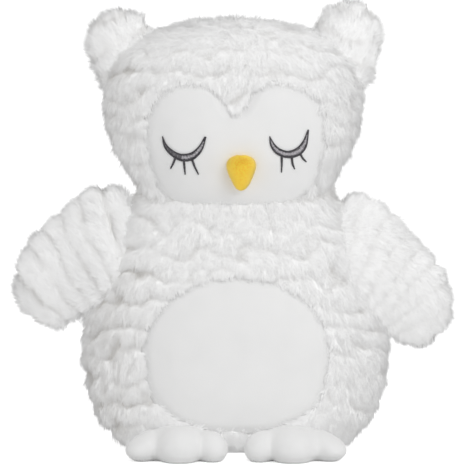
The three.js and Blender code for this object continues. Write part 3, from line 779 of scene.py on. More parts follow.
def grown(skin, name, body, slot_name="ribbed_plush", **sizes):
    """The pile that a skin grows, as a plain mesh that rides on a body when one is given."""
    host = bpy.data.objects.new(name, skin.data.copy())
    scene.collection.objects.link(host)
    made = host.modifiers.new("pile", "NODES")
    made.node_group = PILE_TREE
    where = inputs_of(PILE_TREE)
    for label, value in {"Finish": PLUSH, **sizes}.items():
        made[where[label]] = value
    applied(host)
    p = coordinates(host)
    p[:, 2] = np.maximum(p[:, 2], 0.2 * MM)
    set_coordinates(host, p)
    for extra in ("lay", "comb", "pile_here", "pile_long"):
        if extra in host.data.attributes:
            host.data.attributes.remove(host.data.attributes[extra])
    if body:
        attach(host, body)
    print(name, len(host.data.polygons), "triangles")
    return host


def four_piles(skin, name, body, front, back, seed):
    """A large skin's pile in four pieces: front and back, each below and above a height."""
    for face, side, height in (("front", -1.0, front), ("back", 1.0, back)):
        for level, bound in (("low", "Highest"), ("high", "Lowest")):
            grown(skin, f"{name}_pile_{face}_{level}", body, **{
                "Tufts per Square Metre": DENSE, bound: height, "Side": side, "Seed": seed})
            seed += 1


print("pile tree:", len(PILE_TREE.nodes), "nodes,", int(DENSE), "tufts on a square metre")

# %% [markdown]
# ## Combing
# Plush is combed down its length, so its fibres lean over and the tiers overlap like shingles. Each point of the
# skin gets the direction of its lay: partly straight out, partly along the comb. It also gets the pile's length,
# shorter in the creases and at the rim of a smooth panel, where the maker trims it out of the seam.

# %% Combing
DOWN = (0.0, 0.0, -1.0)


def along_skin(direction, normal):
    """The part of a direction that runs along the skin, as a unit vector."""
    flat = direction - normal * np.sum(direction * normal, axis=1, keepdims=True)
    return unit(flat)


def through_fibres(normal):
    """Light reaches pile that faces up or down through the fibres' sides too, so its shading leans outward."""
    flat = normal * [1, 1, 0]
    return 0.6 * smooth_step(0.25, 0.9, np.abs(normal[:, 2]))[:, None] * flat / np.maximum(
        np.linalg.norm(flat, axis=1, keepdims=True), 0.05)


def painted_crease_shade(crease, strength):
    """How much shade is painted on the pile in a crease: a deep crease is painted dark farther up its sides."""
    return crease ** (1 / np.maximum(strength, 0.4)) * np.minimum(strength, 1.3)


def combed(skin, smooth_normals, comb, stand, here, long, crease):
    """Stores the lay, length and painted shade of the pile. Each is given for every point, or once for all of them.
    """
    normal = normals(skin)
    stand, here, long, crease = (np.broadcast_to(value, len(normal)) for value in (stand, here, long, crease))
    flat = along_skin(np.broadcast_to(comb, normal.shape), smooth_normals)
    lay = normal * stand[:, None] + flat * (1 - stand[:, None])
    keep(skin, "lay", lay, "FLOAT_VECTOR")
    keep(skin, "comb", flat, "FLOAT_VECTOR")
    keep(skin, "skin_normal", unit(smooth_normals + through_fibres(smooth_normals)), "FLOAT_VECTOR")
    keep(skin, "tip", np.full(len(lay), 0.4))
    keep(skin, "shade", np.full(len(lay), 0.5))
    keep(skin, "pile_here", here)
    keep(skin, "pile_long", long)
    # 'crease' holds painted shade: how dark the pile is painted where shade falls
    keep(skin, "crease", crease)


print("combed down, pile on a front wall lies along", along_skin(np.array([DOWN]), np.array([[0.0, -1.0, 0.0]]))[0])


# %% [markdown]
# ## The body
# The body is a pear of filling with a flat seat. Its skin starts as the measured form drawn in by the pile's depth,
# is stuffed, and then takes the tiers of the plush. Behind the belly panel it dips, so that the velour lies on it.

# %% Body skin
FINE = 1.7     # the skins' face size in millimetres
BODY_RELIEF, HEAD_RELIEF = 3.8, 3.4   # how deep the tiers are pressed into the two skins
PANEL_DIP = 2.6    # how far the skins dip behind the smooth panels
FRONT_RISE = 10    # how far the front's hem is drawn up off the floor, between the feet
TRIM = -0.8        # the pile is trimmed this far outside a panel's outline


def front_lift(p):
    """How far the body's front rises off the floor between the feet."""
    return FRONT_RISE * smooth_step(16, 40, -p[:, 1]) * (1 - smooth_step(0, 18, p[:, 2]))


def body_held(p):
    belly = np.abs(in_panel(oval_line(), p)) < 5
    return np.maximum(belly * 1.0, (p[:, 2] < 6) * 1.0)


def body_skin():
    skin = piece("body_plush", *form_points(BODY, -PILE, sides=96, rings=40))
    stuffed(skin, voxel=5.0, held=body_held, pressure=4.0, cap=2.0)
    remeshed(skin, FINE)
    relaxed(skin, 3, 3)
    p = coordinates(skin) / MM
    soft = normals(skin)
    depth = in_panel(oval_line(), p)
    height, crease = tiers(p, pitch=15.0, waves=9, lobes=46, seed=1.0)
    inside = smooth_step(-3.0, 1.0, depth)
    seat = 1 - smooth_step(1.0, 7.0, p[:, 2])
    # the tiers are shallow at the middle of the front and deep at the sides; the shade painted into their creases
    # follows them and is deepest on the owl's right, away from the lamp
    strength = 0.45 + 1.15 * smooth_step(38, 78, -p[:, 0]) + 0.25 * smooth_step(40, 82, p[:, 0])
    strength *= 1 - 0.3 * smooth_step(95, 125, p[:, 2])
    relief = (height - 0.7) * BODY_RELIEF * strength * (1 - inside) * (1 - seat)
    p_new = p + soft * (relief - PANEL_DIP * inside)[:, None]
    p_new[:, 2] = np.maximum(p_new[:, 2] + front_lift(p_new), 0.6)
    set_coordinates(skin, p_new * MM)
    rim = smooth_step(-7.0, 0.0, depth)
    # the front's hem hangs over the feet as a loose fringe
    fringe = smooth_step(14, 30, -p[:, 1]) * (1 - smooth_step(6, 16, p[:, 2]))
    here = (depth < TRIM) * (p_new[:, 2] > 1.2) * (p[:, 2] < 150) * 1.0
    long = (0.55 + 0.6 * height) * (1 - 0.25 * rim) * (1 - 0.5 * seat * (1 - fringe))
    comb = lapped(np.tile(DOWN, (len(p), 1)), p, (BELLY["middle"], BELLY["height"]), rim)
    stand = 0.22 + 0.15 * crease + 0.04 * rim + 0.5 * fringe
    # painted shade: the creases, less at the panel's rim and on the fringe, and the pile that faces up, where the
    # head's shade falls on it
    painted_head_shade = 0.7 * smooth_step(0.45, 0.8, soft[:, 2]) * smooth_step(138, 145, p[:, 2])
    shade = np.maximum(painted_crease_shade(crease, strength) * (1 - rim) * (1 - fringe), painted_head_shade)
    combed(skin, soft, comb, np.minimum(stand, 0.95), here, long, shade)
    return skin


body = body_skin()
wears(body, PLUSH)
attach(body, "torso")
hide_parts("body_front_plush", "body_back_plush", "body_stuffing", "pellet_pouch")
four_piles(body, "body", "torso", front=0.066, back=0.066, seed=1)

# %% [markdown]
# ## The head
# The head is wider than deep and nearly flat on top. It is made as the body is, and the heart-shaped face is left
# bare of pile. On the forehead the tiers are shorter and more broken.

# %% Head skin


def head_held(p):
    return (np.abs(in_panel(heart_line(), p)) < 4) * 1.0


def head_skin():
    skin = piece("head_plush", *form_points(HEAD, -PILE, sides=96, rings=36))
    stuffed(skin, voxel=5.0, held=head_held, pressure=4.0, cap=2.0)
    remeshed(skin, FINE)
    relaxed(skin, 4)
    p = coordinates(skin) / MM
    soft = normals(skin)
    depth = in_panel(heart_line(), p)
    height, crease = tiers(p, pitch=13.0, waves=11, lobes=56, seed=4.0)
    inside = smooth_step(-3.0, 1.0, depth)
    # the tiers and the shade painted into their creases are deeper at the sides, deepest on the owl's right away
    # from the lamp, and shallower on top
    strength = 0.43 + 0.85 * smooth_step(42, 70, -p[:, 0]) + 0.35 * smooth_step(42, 70, p[:, 0])
    strength *= 1 - 0.4 * smooth_step(222, 240, p[:, 2])
    relief = (height - 0.7) * HEAD_RELIEF * strength * (1 - inside)
    set_coordinates(skin, (p + soft * (relief - PANEL_DIP * inside)[:, None]) * MM)
    rim = smooth_step(-6.0, 0.0, depth)
    here = (depth < TRIM) * (p[:, 2] > 141) * 1.0
    long = (0.55 + 0.6 * height) * (1 - 0.25 * rim)
    # on top the pile is combed outward, and toward the front or the back
    comb = np.tile(DOWN, (len(p), 1))
    comb[:, 0] = 0.3 * np.sign(p[:, 0]) * smooth_step(235, 252, p[:, 2])
    comb[:, 1] = np.where(p[:, 1] < 0, -1, 1) * smooth_step(238, 252, p[:, 2])
    comb = lapped(comb, p, (FACE["shift"], FACE["middle"]), rim)
    stand = 0.25 + 0.15 * crease + 0.04 * rim
    combed(skin, soft, comb, stand, here, long, painted_crease_shade(crease, strength) * (1 - rim))
    return skin


head = head_skin()
wears(head, PLUSH)
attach(head, "head")
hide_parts("head_front_plush", "head_back_plush", "head_stuffing")
four_piles(head, "head", "head", front=0.212, back=0.205, seed=5)

# %% [markdown]
# ## The ears
# An ear is a small round pillow that leans out from the head's upper corner. Its pile is combed toward its tip,
# where it breaks up into loose locks.

# %% Ears
# each ear: its side, the middle of its pillow and how far it leans out, in degrees
EARS = {
    "left_ear": dict(side=1, at=(64.0, 237.3), lean=18),
    "right_ear": dict(side=-1, at=(66.0, 233.0), lean=27),
}
BURIED = 7   # a limb has no pile farther than this inside the form that it is sewn to, in millimetres


def ear_held(middle, up):
    """The ear is held where it is sewn to the head, and along its own seam."""
    def held(p):
        foot = ((p - middle) @ up < -12) * 1.0
        return np.maximum(foot, (np.abs(p[:, 1]) < 1.5) * 0.8)
    return held


def ear_skin(name, facts):
    side, lean = facts["side"], math.radians(facts["lean"]) * facts["side"]
    middle = np.array([side * facts["at"][0], 0, facts["at"][1]])
    up = np.array([math.sin(lean), 0, math.cos(lean)])
    skin = piece(name, *form_points(EAR, 0.4 - PILE, sides=40, rings=18))
    skin.data.transform(Matrix.Translation(Vector(middle) * MM) @ Matrix.Rotation(lean, 4, "Y"))
    stuffed(skin, voxel=3.0, held=ear_held(middle, up), pressure=4.0, cap=1.2)
    remeshed(skin, min(FINE, 2.4))
    relaxed(skin, 3)
    p = coordinates(skin) / MM
    soft = normals(skin)
    height, crease = ribs_across((p - middle) @ up, pitch=13.0, points=p, seed=3.0 + side, wobble=0.35)
    set_coordinates(skin, (p + soft * ((height - 0.5) * 1.8)[:, None]) * MM)
    # painted shade in the creases between the ribs, at half strength
    combed(skin, soft, up, stand=0.4, here=1.0 - inside_form(HEAD, p, -BURIED), long=0.85 + 0.2 * height,
           crease=crease * 0.5)
    return skin


def sewn_limb(skin, pile, name):
    """A stuffed limb's skin and pile, fixed in the toy's frame, with the measured parts that they stand for hidden.
    """
    for made in (skin, pile):
        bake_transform(made)
    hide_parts(name + "_front_plush", name + "_back_plush", name + "_stuffing")


def ear(name):
    facts = EARS[name]
    side = facts["side"]
    skin = ear_skin(name + "_plush", facts)
    wears(skin, PLUSH)
    pile = grown(skin, name + "_pile", None, **{
        "Tufts per Square Metre": DENSE * 1.15, "Pile Length": 0.0062, "Lock Strength": 0.5, "Seed": 20 + side})
    sewn_limb(skin, pile, name)


for name in EARS:
    ear(name)


# %% [markdown]
# ## The wings
# A wing is two panels sewn along their outline and filled, so it is thickest in the middle and thin at the seam.
# Its ribs run across it from edge to edge. The pillow is built from rings of the outline, drawn in toward the
# middle, and the pile is combed toward the tip.

# %% Wings
WINGS = {
    "left_wing": dict(side=1, reach=74, drop=82, droop=9, relief=1.7, grow=-2.2, outline=LEFT_WING_OUTLINE),
    "right_wing": dict(side=-1, reach=66, drop=78, droop=0, relief=4.0, grow=-4.2, outline=RIGHT_WING_OUTLINE),
}
SHOULDER = (64, 146)
WING_HALF_DEPTH = 17.5
WING_FULLNESS, WING_RINGS = 2.1, 15
WING_FORWARD = 16                     # how far the wing's root is drawn forward over the body's side
FAN = dict(out=41, up=45, step=7.9)   # the ribs fan out from this place, one every so many degrees


def wing_outline(wing, count=88):
    """A wing's outline in the front view, and the middle that its rings are drawn in to."""
    side = wing["side"]
    at = np.array([side * SHOULDER[0], SHOULDER[1]], float)
    turn = math.radians(-side * wing["droop"])
    spin = np.array([[math.cos(turn), -math.sin(turn)], [math.sin(turn), math.cos(turn)]])

    def place(share):
        flat = np.array([side * share[0] * wing["reach"], -share[1] * wing["drop"]])
        return at + spin @ flat

    middle = place((0.44, 0.5))
    line = even_steps(through([place(s) for s in wing["outline"]], closed=True), count, closed=True)
    spokes = line - middle
    long = np.linalg.norm(spokes, axis=1, keepdims=True)
    return middle + spokes * (long + wing["grow"]) / long, middle


def wing_held(p):
    return (np.abs(p[:, 1]) < 2.0) * 0.9


def wing_skin(name, wing):
    line, middle = wing_outline(wing)
    if wing["side"] > 0:
        line = line[::-1]
    rings, half = [], WING_HALF_DEPTH - PILE
    for step in range(1, WING_RINGS + 1):
        angle = math.pi * step / (WING_RINGS + 1)
        share, depth = bent(math.sin(angle), WING_FULLNESS), -half * bent(math.cos(angle), WING_FULLNESS)
        flat = middle + (line - middle) * share
        rings.append(np.stack([flat[:, 0], np.full(len(flat), depth), flat[:, 1]], axis=1))
    points = np.vstack([[[middle[0], -half, middle[1]]], *rings, [[middle[0], half, middle[1]]]])
    skin = piece(name + "_plush", points * MM, ring_faces(len(rings), len(line)))
    made = bmesh.new()
    made.from_mesh(skin.data)
    bmesh.ops.recalc_face_normals(made, faces=made.faces)
    made.to_mesh(skin.data)
    made.free()
    stuffed(skin, voxel=4.0, held=wing_held, pressure=4.0, cap=1.5)
    remeshed(skin, min(FINE, 2.6))
    relaxed(skin, 3)
    p = coordinates(skin) / MM
    # below the shoulder the wing's root is drawn forward over the body's side
    low = 1 - 0.75 * smooth_step(105, 145, p[:, 2])
    p[:, 1] -= WING_FORWARD * low * (1 - smooth_step(68, 104, np.abs(p[:, 0])))
    set_coordinates(skin, p * MM)
    soft = normals(skin)
    # the ribs fan out and bow a little, and the pile is combed across them toward the tip
    arm = p[:, [0, 2]] - [wing["side"] * FAN["out"], FAN["up"]]
    turn = np.degrees(np.arctan2(arm[:, 1], wing["side"] * arm[:, 0]))
    bow = 1.5 * np.sin(np.linalg.norm(arm, axis=1) / 22 + wing["side"])
    height, crease = ribs_across(turn + bow, FAN["step"], p, seed=5.0 + wing["side"], wobble=0.38)
    run = unit(np.stack([wing["side"] * arm[:, 1], -arm[:, 0]], axis=1))
    set_coordinates(skin, (p + soft * ((height - 0.7) * wing["relief"])[:, None]) * MM)
    comb = np.stack([run[:, 0], np.zeros(len(p)), run[:, 1]], axis=1)
    bare = inside_form(BODY, p, -BURIED) | inside_form(HEAD, p, -BURIED)
    # painted shade in the creases, as deep as the wing's ribs
    combed(skin, soft, comb, stand=0.42, here=1.0 - bare, long=0.6 + 0.45 * height,
           crease=crease * 0.17 * wing["relief"])
    return skin


def wing(name):
    facts = WINGS[name]
    side = facts["side"]
    skin = wing_skin(name, facts)
    wears(skin, PLUSH)
    pile = grown(skin, name + "_pile", None, **{
        "Tufts per Square Metre": DENSE * 1.1, "Pile Length": 0.0058, "Seed": 30 + side})
    sewn_limb(skin, pile, name)


for name in WINGS:
    wing(name)


# %% [markdown]
# ## The neck
# The head turns and nods on a soft neck. A short furry barrel fills the crease between head and body.

# %% Neck
BARREL = dict(half_width=54, half_depth=34, bottom=128, height=38, fullness=2.1, outline=[
    (0, 0, 0), (0.05, 0.7, 0.7), (0.25, 0.98, 0.98), (0.5, 1, 1), (0.75, 0.98, 0.98), (0.95, 0.7, 0.7),
    (1, 0, 0)])


def neck():
    skin = piece("neck_plush", *form_points(BARREL, 0, sides=64, rings=14))
    remeshed(skin, 3.0)
    p = coordinates(skin) / MM
    soft = normals(skin)
    # only the crease shows; shade is painted on it, darkest on the owl's right, away from the lamp
    at_crease = (np.abs(p[:, 2] - NECK_HEIGHT) < 12) * 1.0
    crease = 0.4 + 0.55 * smooth_step(22, 48, -p[:, 0])
    combed(skin, soft, DOWN, stand=0.45, here=at_crease, long=0.75, crease=crease)
    wears(skin, PLUSH)
    pile = grown(skin, "neck_pile", None, **{
        "Tufts per Square Metre": DENSE * 0.7, "Pile Length": 0.006, "Seed": 50})
    for made in (skin, pile):
        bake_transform(made)
    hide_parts("neck_stuffing")


neck()

# %% [markdown]
# ## Velour
# The face, belly and feet are velour: a knitted cloth with a pile so short that single fibres don't show. It reads
# as velour by its soft edge light, a faint mottling where the pile leans, and a fine grain in the bump.

# %% Velour finish


def velour_group():
    graph, given, put_out = group_of("velour nap", "ShaderNodeTree", [
        ("Colour", "Color", (0.9, 0.9, 0.9, 1)), ("Nap Size", "Float", 0.0007),
        ("Mottle Size", "Float", 0.016), ("Mottle", "Float", 0.04)],
        [("Colour", "Color"), ("Height", "Float"), ("Roughness", "Float")])
    place = graph.out("ShaderNodeTexCoord", key="Object")

    def cloud(size, detail):
        return graph.out("ShaderNodeTexNoise", {
            "Detail": detail, "Vector": place, "Scale": graph.math("DIVIDE", 1.0, size)}, key="Fac")

    nap, mottle = cloud(given["Nap Size"], 2.0), cloud(given["Mottle Size"], 1.0)
    graph.put(put_out["Colour"], uneven(graph, given["Colour"], mottle, given["Mottle"]))
    graph.put(put_out["Height"], nap)
    graph.put(put_out["Roughness"], graph.out("ShaderNodeMapRange", {
        "Value": nap, "To Min": 0.82, "To Max": 0.98}))
    return graph.tree


NAP = velour_group()


def velour(name, colour, mottle=0.05, nap=0.0007, relief=0.12):
    made, graph, shader = finish_of(name, 0.9, sheen=0.3, specular=0.1)
    cloth = graph.node("ShaderNodeGroup", node_tree=NAP)
    for label, value in (("Colour", colour), ("Mottle", mottle), ("Nap Size", nap)):
        cloth.inputs[label].default_value = value
    graph.put(shader["Base Color"], cloth.outputs["Colour"])
    graph.put(shader["Roughness"], cloth.outputs["Roughness"])
    graph.put(shader["Normal"], graph.out("ShaderNodeBump", {
        "Strength": relief, "Distance": 0.0004, "Height": cloth.outputs["Height"]}, key="Normal"))
    return made


WHITE_VELOUR = velour("smooth_velour", (0.905, 0.905, 0.902, 1))
YELLOW_VELOUR = velour("yellow_velour", (0.93, 0.60, 0.055, 1), mottle=0.12, nap=0.0006, relief=0.3)
print("finishes:", WHITE_VELOUR.name, "and", YELLOW_VELOUR.name)

# %% [markdown]
# ## The smooth panels
# A panel is cut to its outline, sewn into the plush and pushed out by the filling. Rings of its outline, shrunk
# toward the middle, lie on the measured form at the panel's depth. Near the rim the cloth rolls down into the seam.
# Solidify gives it the thickness of the cloth.

# %% Face and belly
PANEL_GROW = 4.0   # how far a panel's cloth runs on under the plush, in millimetres
PANEL_RINGS = 33
FACE_LINE = heart_line(PANEL_GROW, 200)
BELLY_LINE = oval_line(PANEL_GROW, 160)


def panel_depth(inside):
    """How far below the pile's surface a panel lies, from its seam inward."""
    return PANEL_DEPTH - 1.2 * smooth_step(4, 20, inside) + 2.2 * (1 - smooth_step(0.0, 6.5, inside))


def sheet(name, points, sides, facing, thickness):
    """A cut of velour from rings of its outline, drawn in to a middle point, that faces one way."""
    at = lambda ring, side: ring * sides + side % sides
    last = (len(points) - 1) // sides - 1
    faces = [(at(r, s), at(r, s + 1), at(r + 1, s + 1), at(r + 1, s)) for r in range(last) for s in range(sides)]
    faces += [(at(last, s), at(last, s + 1), len(points) - 1) for s in range(sides)]
    made = piece(name, points * MM, faces)
    if normals(made)[-1] @ facing < 0:
        made.data.flip_normals()
    cloth = made.modifiers.new("cloth", "SOLIDIFY")
    cloth.thickness = thickness * MM
    cloth.offset = -1
    applied(made)
    wears(made, WHITE_VELOUR)
    print(name, len(made.data.polygons), "faces")
    return made


def panel(name, form, line, middle):
    rings = [middle + (line - middle) * share for share in np.linspace(1, 0, PANEL_RINGS, endpoint=False)]
    flat = np.vstack([*rings, middle])
    y = front_y(form, flat[:, 0], flat[:, 1]) + panel_depth(depth_inside(line, flat[:, 0], flat[:, 1]))
    sag = 0.35 * clouds(np.stack([flat[:, 0], y, flat[:, 1]], axis=1), size=17, seed=2.0)
    points = np.stack([flat[:, 0], y + sag, flat[:, 1]], axis=1)
    return sheet(name, points, len(line), facing=(0, -1, 0), thickness=1.4)


belly = panel("belly_velour", BODY, BELLY_LINE, np.array([BELLY["middle"], BELLY["height"]]))
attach(belly, "torso")
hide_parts("belly_panel")
face = panel("face_velour", HEAD, FACE_LINE, np.array([FACE["shift"], FACE["middle"]]))
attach(face, "head")
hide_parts("face_panel")

# %% [markdown]
# ## The feet
# A foot is a small cushion with three toes. Round forms are joined into one skin, and the skin is relaxed, so the
# creases between the toes stay but soften as filled cloth does. The sole is flat, with its seam just above it.

# %% Feet
# each toe: how far outward, half-width, half-length, half-height, how far forward, outward turn in degrees, and how
# far it is lifted off the floor
TOES = [(0, 14.6, 17, 11.8, 75, 0, 0), (19, 11, 17, 10.6, 69, 22, 1.6), (-18.4, 9.6, 15, 10.6, 70.5, -6, 1.2),
        (0.5, 24, 20, 11.2, 69, 0, 0.6)]
SOLE_CUT = 3.6      # how far the round forms reach below the sole before it is pressed flat
SOLE_SEAM = 2.6     # how high the seam runs above the floor
FOOT_OUT = 32.5     # how far out a foot's middle lies


def foot(name, x0):
    skin = piece(name + "_velour", [], [])
    made = bmesh.new()
    side = math.copysign(1, x0)
    for out, half_width, half_length, half_height, tip, turn, lift in TOES:
        size = Matrix.Diagonal((half_width * MM, half_length * MM, half_height * MM, 1))
        middle = Vector((x0 + side * out, half_length - tip, half_height - SOLE_CUT + lift))
        place = Matrix.Translation(middle * MM)
        yaw = Matrix.Rotation(math.radians(side * turn), 4, "Z")
        bmesh.ops.create_icosphere(made, subdivisions=4, radius=1, matrix=place @ yaw @ size)
    made.to_mesh(skin.data)
    made.free()
    remeshed(skin, 0.9)
    relaxed(skin, 26)
    p = coordinates(skin) / MM
    # the foot is lower toward its sides
    outward = side * (p[:, 0] - x0)
    p[:, 2] *= 1 - 0.3 * smooth_step(6, 32, outward) - 0.16 * smooth_step(8, 27, -outward)
    set_coordinates(skin, p * MM)
    soft = normals(skin)
    # the seam draws the cloth in, and the sole is pressed flat
    seam = np.exp(-((p[:, 2] - SOLE_SEAM) / 0.55) ** 2)
    p -= soft * (0.2 * seam)[:, None]
    p[:, 1] += 0.35 * clouds(p, size=9, seed=x0) * smooth_step(2, 6, p[:, 2])
    p[:, 2] = np.maximum(p[:, 2], 0.05)
    set_coordinates(skin, p * MM)
    wears(skin, WHITE_VELOUR)
    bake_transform(skin)
    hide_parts(name + "_top_cover", name + "_sole", name + "_stuffing")
    print(skin.name, len(skin.data.polygons), "faces")


foot("left_foot", FOOT_OUT)
foot("right_foot", -FOOT_OUT)

# %% [markdown]
# ## The beak
# The beak is a stuffed drop of yellow velour, sewn to the face by its back. Its form is the measured one, flattened
# where it lies on the face.

# %% Beak
BEAK_PLACE = (3, -47, 0)   # how far the beak's form is moved from the owl's middle


def beak():
    points, faces = form_points(BEAK, 0, sides=48, rings=24)
    p = points / MM + BEAK_PLACE
    p[:, 1] = np.minimum(p[:, 1], front_y(HEAD, p[:, 0], p[:, 2]) + PANEL_DEPTH)
    made = piece("beak_velour", p * MM, faces)
    fine = made.modifiers.new("fine", "SUBSURF")
    fine.levels = fine.render_levels = 1
    applied(made)
    wears(made, YELLOW_VELOUR)
    p = coordinates(made) / MM
    soft = normals(made)
    in_front = (p[:, 1] < front_y(HEAD, p[:, 0], p[:, 2]) + PANEL_DEPTH - 0.3) * 1.0
    combed(made, soft, DOWN, stand=0.5, here=in_front, long=1.0, crease=0.0)
    grown(made, "beak_pile", "head", "yellow_velour", **{
        "Tufts per Square Metre": DENSE * 4, "Pile Length": 0.0013, "Tuft Width": 0.00012, "Lock Strength": 0.15,
        "Finish": YELLOW_PILE, "Seed": 60})
    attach(made, "head")
    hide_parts("beak_cover", "beak_stuffing")


beak()

# %% [markdown]
# ## The embroidered eyes
# Each closed eye is a crescent with three lashes, worked in satin stitch. A stitch is a short thread pulled flat
# across the line that it follows. The list of stitches is worked out along each line, and a node tree lays one
# rounded thread on every entry, so that the eye is real thread and not a printed shape.

# %% Thread finish and stitch tree


def thread_finish(name, dark, light):
    made, graph, shader = finish_of(name, 0.5, specular=0.4)
    graph.put(shader["Base Color"], mixed(graph, attribute(graph, "tone"), dark, light))
    return made


# black thread and light grey thread, whose lightest tones make a painted highlight
THREAD = thread_finish("thread", (0.035, 0.032, 0.038, 1), (0.58, 0.56, 0.59, 1))


def stitch_tree():
    graph, given, put_out = group_of("satin stitches", "GeometryNodeTree", [
        ("Stitches", "Geometry"), ("Thread Thickness", "Float", 0.0004), ("Finish", "Material")],
        [("Threads", "Geometry")])
    ball = graph.out("GeometryNodeMeshUVSphere", {"Segments": 6, "Rings": 5, "Radius": 1.0}, key="Mesh")
    points = graph.out("GeometryNodeMeshToPoints", {"Mesh": given["Stitches"]})
    turn = pointed(graph, named(graph, "across", "FLOAT_VECTOR"), named(graph, "outward", "FLOAT_VECTOR"))
    thick = given["Thread Thickness"]
    size = graph.out("ShaderNodeCombineXYZ", {0: thick, 1: thick, 2: named(graph, "half_length")})
    laid = graph.out("GeometryNodeInstanceOnPoints", {
        "Points": points, "Instance": ball, "Rotation": turn, "Scale": size})
    graph.put(put_out["Threads"], made_real(graph, laid, given["Finish"]))
    return graph.tree


STITCH_TREE = stitch_tree()
print("stitch tree:", len(STITCH_TREE.nodes), "nodes, inputs", ", ".join(inputs_of(STITCH_TREE)))

# %% [markdown]
# The crescent has a dark line of satin stitch along each edge and slanted stitches of a greyer thread between them,
# lightest as a painted highlight on the side toward the lamp.
# Each lash is one tapering line. All places are measured on the face, and the threads lie on the velour.

# %% Eyes
# each eye, in millimetres of the front view: the crescent's two edges from corner to corner, the lashes, and the
# share of the crescent from which grey threads, lightened into a painted highlight, cross it
EYES = {
    "right_eye_threads": dict(
        lower=[(-42.1, 184.9), (-40.9, 179.1), (-37.2, 174.6), (-31.1, 171.4), (-24.4, 172.6), (-19.5, 178),
               (-17.2, 185.3)],
        upper=[(-42.1, 184.9), (-39.5, 179.8), (-35, 176.2), (-30.3, 174.9), (-25.2, 176.1), (-20.8, 180.2),
               (-18, 185.3)],
        lashes=[[(-34.9, 172.2), (-36.1, 169.1), (-37.5, 166.2)], [(-29.8, 171), (-29.5, 167.2), (-29.1, 163.1)],
                [(-25, 171.6), (-23.6, 167.7), (-21.5, 163.3)]], grey_and_highlight_from=0.48),
    "left_eye_threads": dict(
        lower=[(19.3, 185.5), (20, 180.3), (22.7, 176.3), (26.5, 174.1), (30.6, 173.2), (34.5, 173.9),
               (37.7, 175.7), (40.3, 179.8), (41.5, 188.7)],
        upper=[(19.3, 185.5), (21.8, 181.2), (25.1, 178.1), (29.1, 176.7), (33, 177.4), (36.4, 179.7),
               (39, 183.5), (41.1, 188.7)],
        lashes=[[(26.1, 174.3), (26.2, 169.1), (26, 164.5)], [(31.9, 173.1), (32.4, 169.3), (33.5, 166.2)],
                [(36.8, 175), (38.2, 172.3), (40.2, 170.1)]], grey_and_highlight_from=0.08)}
EDGE_STEPS = 70
rng = np.random.default_rng(7)


def face_surface(flat):
    """The velour's depth at places of the front view."""
    return front_y(HEAD, flat[:, 0], flat[:, 1]) + panel_depth(depth_inside(FACE_LINE, flat[:, 0], flat[:, 1]))


def satin(stitches, line, widths, spacing, tone, slant=0.0, lift=0.3, ragged=0.08):
    """Stitches across a line at even spacing, each a little longer or shorter than the next."""
    line = np.array(line)
    along = np.concatenate([[0], np.cumsum(np.linalg.norm(np.diff(line, axis=0), axis=1))])
    count = max(2, int(along[-1] / spacing))
    for at in np.linspace(0, along[-1], count):
        before, p, after = (np.array([np.interp(here, along, line[:, k]) for k in (0, 1)])
                            for here in (max(at - 0.2, 0), at, min(at + 0.2, along[-1])))
        run = (after - before) / max(np.linalg.norm(after - before), 1e-9)
        across = np.array([-run[1], run[0]])
        turn = math.radians(slant + rng.uniform(-5, 5))
        across = np.array([across[0] * math.cos(turn) - across[1] * math.sin(turn),
                           across[0] * math.sin(turn) + across[1] * math.cos(turn)])
        wide = np.interp(at / along[-1], np.linspace(0, 1, len(widths)), widths)
        stitches.append((p, across, wide / 2 * rng.uniform(1 - ragged, 1 + 0.3 * ragged),
                         np.clip(tone + rng.uniform(-0.08, 0.08), 0, 1), lift))


def eye_stitches(facts):
    """Every stitch of one eye: fill, grey cross threads with a painted highlight, the two dark edges and the
    lashes.
    """
    stitches = []
    lower, upper = (even_steps(through(facts[edge]), EDGE_STEPS) for edge in ("lower", "upper"))
    middle, thick = (lower + upper) / 2, np.linalg.norm(lower - upper, axis=1)
    satin(stitches, middle, np.maximum(thick, 0.5), spacing=0.34, tone=0.16, lift=0.1)
    # from this share on, light grey threads nearly white as a painted highlight, on the side toward the lamp;
    # before it a few mid-grey ones
    grey = int(facts["grey_and_highlight_from"] * EDGE_STEPS)
    for slant, spacing, tone, lift in ((42, 0.85, 0.95, 0.3), (-40, 0.95, 0.8, 0.36), (6, 1.5, 1.0, 0.4)):
        satin(stitches, middle[grey:-6], thick[grey:-6] * 0.8, spacing, tone, slant, lift, ragged=0.6)
    satin(stitches, middle[6:grey + 4], thick[6:grey + 4] * 0.7, spacing=1.9, tone=0.4, slant=30, ragged=0.5)
    for edge, wide in ((lower, 1.45), (upper, 1.0)):
        satin(stitches, edge, [0.55 * wide, wide, wide, 0.55 * wide], spacing=0.3, tone=0.03, lift=0.45,
              ragged=0.2)
    for lash in facts["lashes"]:
        satin(stitches, even_steps(through(lash), 14), [1.7, 1.5, 1.25, 0.85], spacing=0.27, tone=0.03, lift=0.42,
              ragged=0.2)
    return stitches


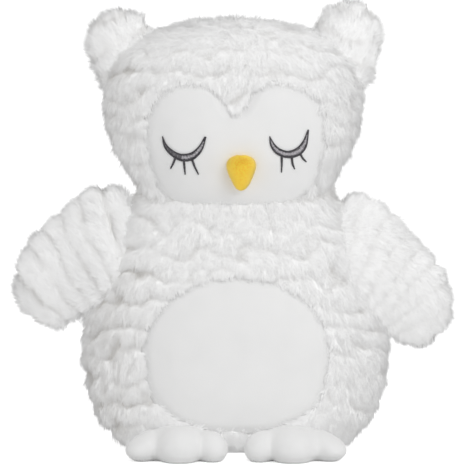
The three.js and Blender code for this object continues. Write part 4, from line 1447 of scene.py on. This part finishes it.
def eye(name):
    stitches = eye_stitches(EYES[name])
    flat = np.array([p for p, *_ in stitches])
    run = np.array([d for _, d, *_ in stitches])
    half, tone, lift = (np.array([s[k] for s in stitches]) for k in (2, 3, 4))
    rise = {k: face_surface(flat + step) - face_surface(flat - step)
            for k, step in (("run", run * 0.5), ("x", np.array([0.5, 0])), ("z", np.array([0, 0.5])))}
    points = np.stack([flat[:, 0], face_surface(flat) - lift, flat[:, 1]], axis=1) * MM
    across = unit(np.stack([run[:, 0], rise["run"], run[:, 1]], axis=1))
    outward = unit(np.stack([rise["x"], -np.ones(len(flat)), rise["z"]], axis=1))
    made = piece(name, points, [], smooth=False)
    keep(made, "across", across, "FLOAT_VECTOR")
    keep(made, "outward", outward, "FLOAT_VECTOR")
    keep(made, "half_length", half * MM)
    keep(made, "tone", tone)
    work = made.modifiers.new("stitches", "NODES")
    work.node_group = STITCH_TREE
    where = inputs_of(STITCH_TREE)
    work[where["Finish"]] = THREAD
    work[where["Thread Thickness"]] = 0.00026
    applied(made)
    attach(made, "head")
    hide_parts(name.replace("threads", "embroidery"))
    print(name, len(points), "stitches,", len(made.data.polygons), "faces")


for name in EYES:
    eye(name)


# %% [markdown]
# ## The seat
# Under the owl a flat oval of velour closes the body. It is sewn in with a plain seam, and the filling presses it
# slightly inward, so the owl stands on the seat's rim.

# %% Seat panel
SEAT = dict(half_width=54, front=25, back=40, lowest=0.2, rise=0.9, sides=96, rings=21)


def seat():
    angle = np.linspace(0, 2 * np.pi, SEAT["sides"], endpoint=False)
    deep = np.where(np.sin(angle) < 0, SEAT["front"], SEAT["back"])
    flat = np.stack([SEAT["half_width"] * np.cos(angle), deep * np.sin(angle), 0 * angle], axis=1)
    rings = [flat * share + [0, 0, SEAT["lowest"] + SEAT["rise"] * smooth_step(0.02, 0.35, 1 - share)]
             for share in np.linspace(1, 0, SEAT["rings"], endpoint=False)]
    middle = [0, 0, SEAT["lowest"] + SEAT["rise"]]
    made = sheet("seat_velour", np.vstack([*rings, middle]), SEAT["sides"], facing=(0, 0, -1), thickness=1.2)
    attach(made, "torso")
    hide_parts("base_panel")


seat()

# %% [markdown]
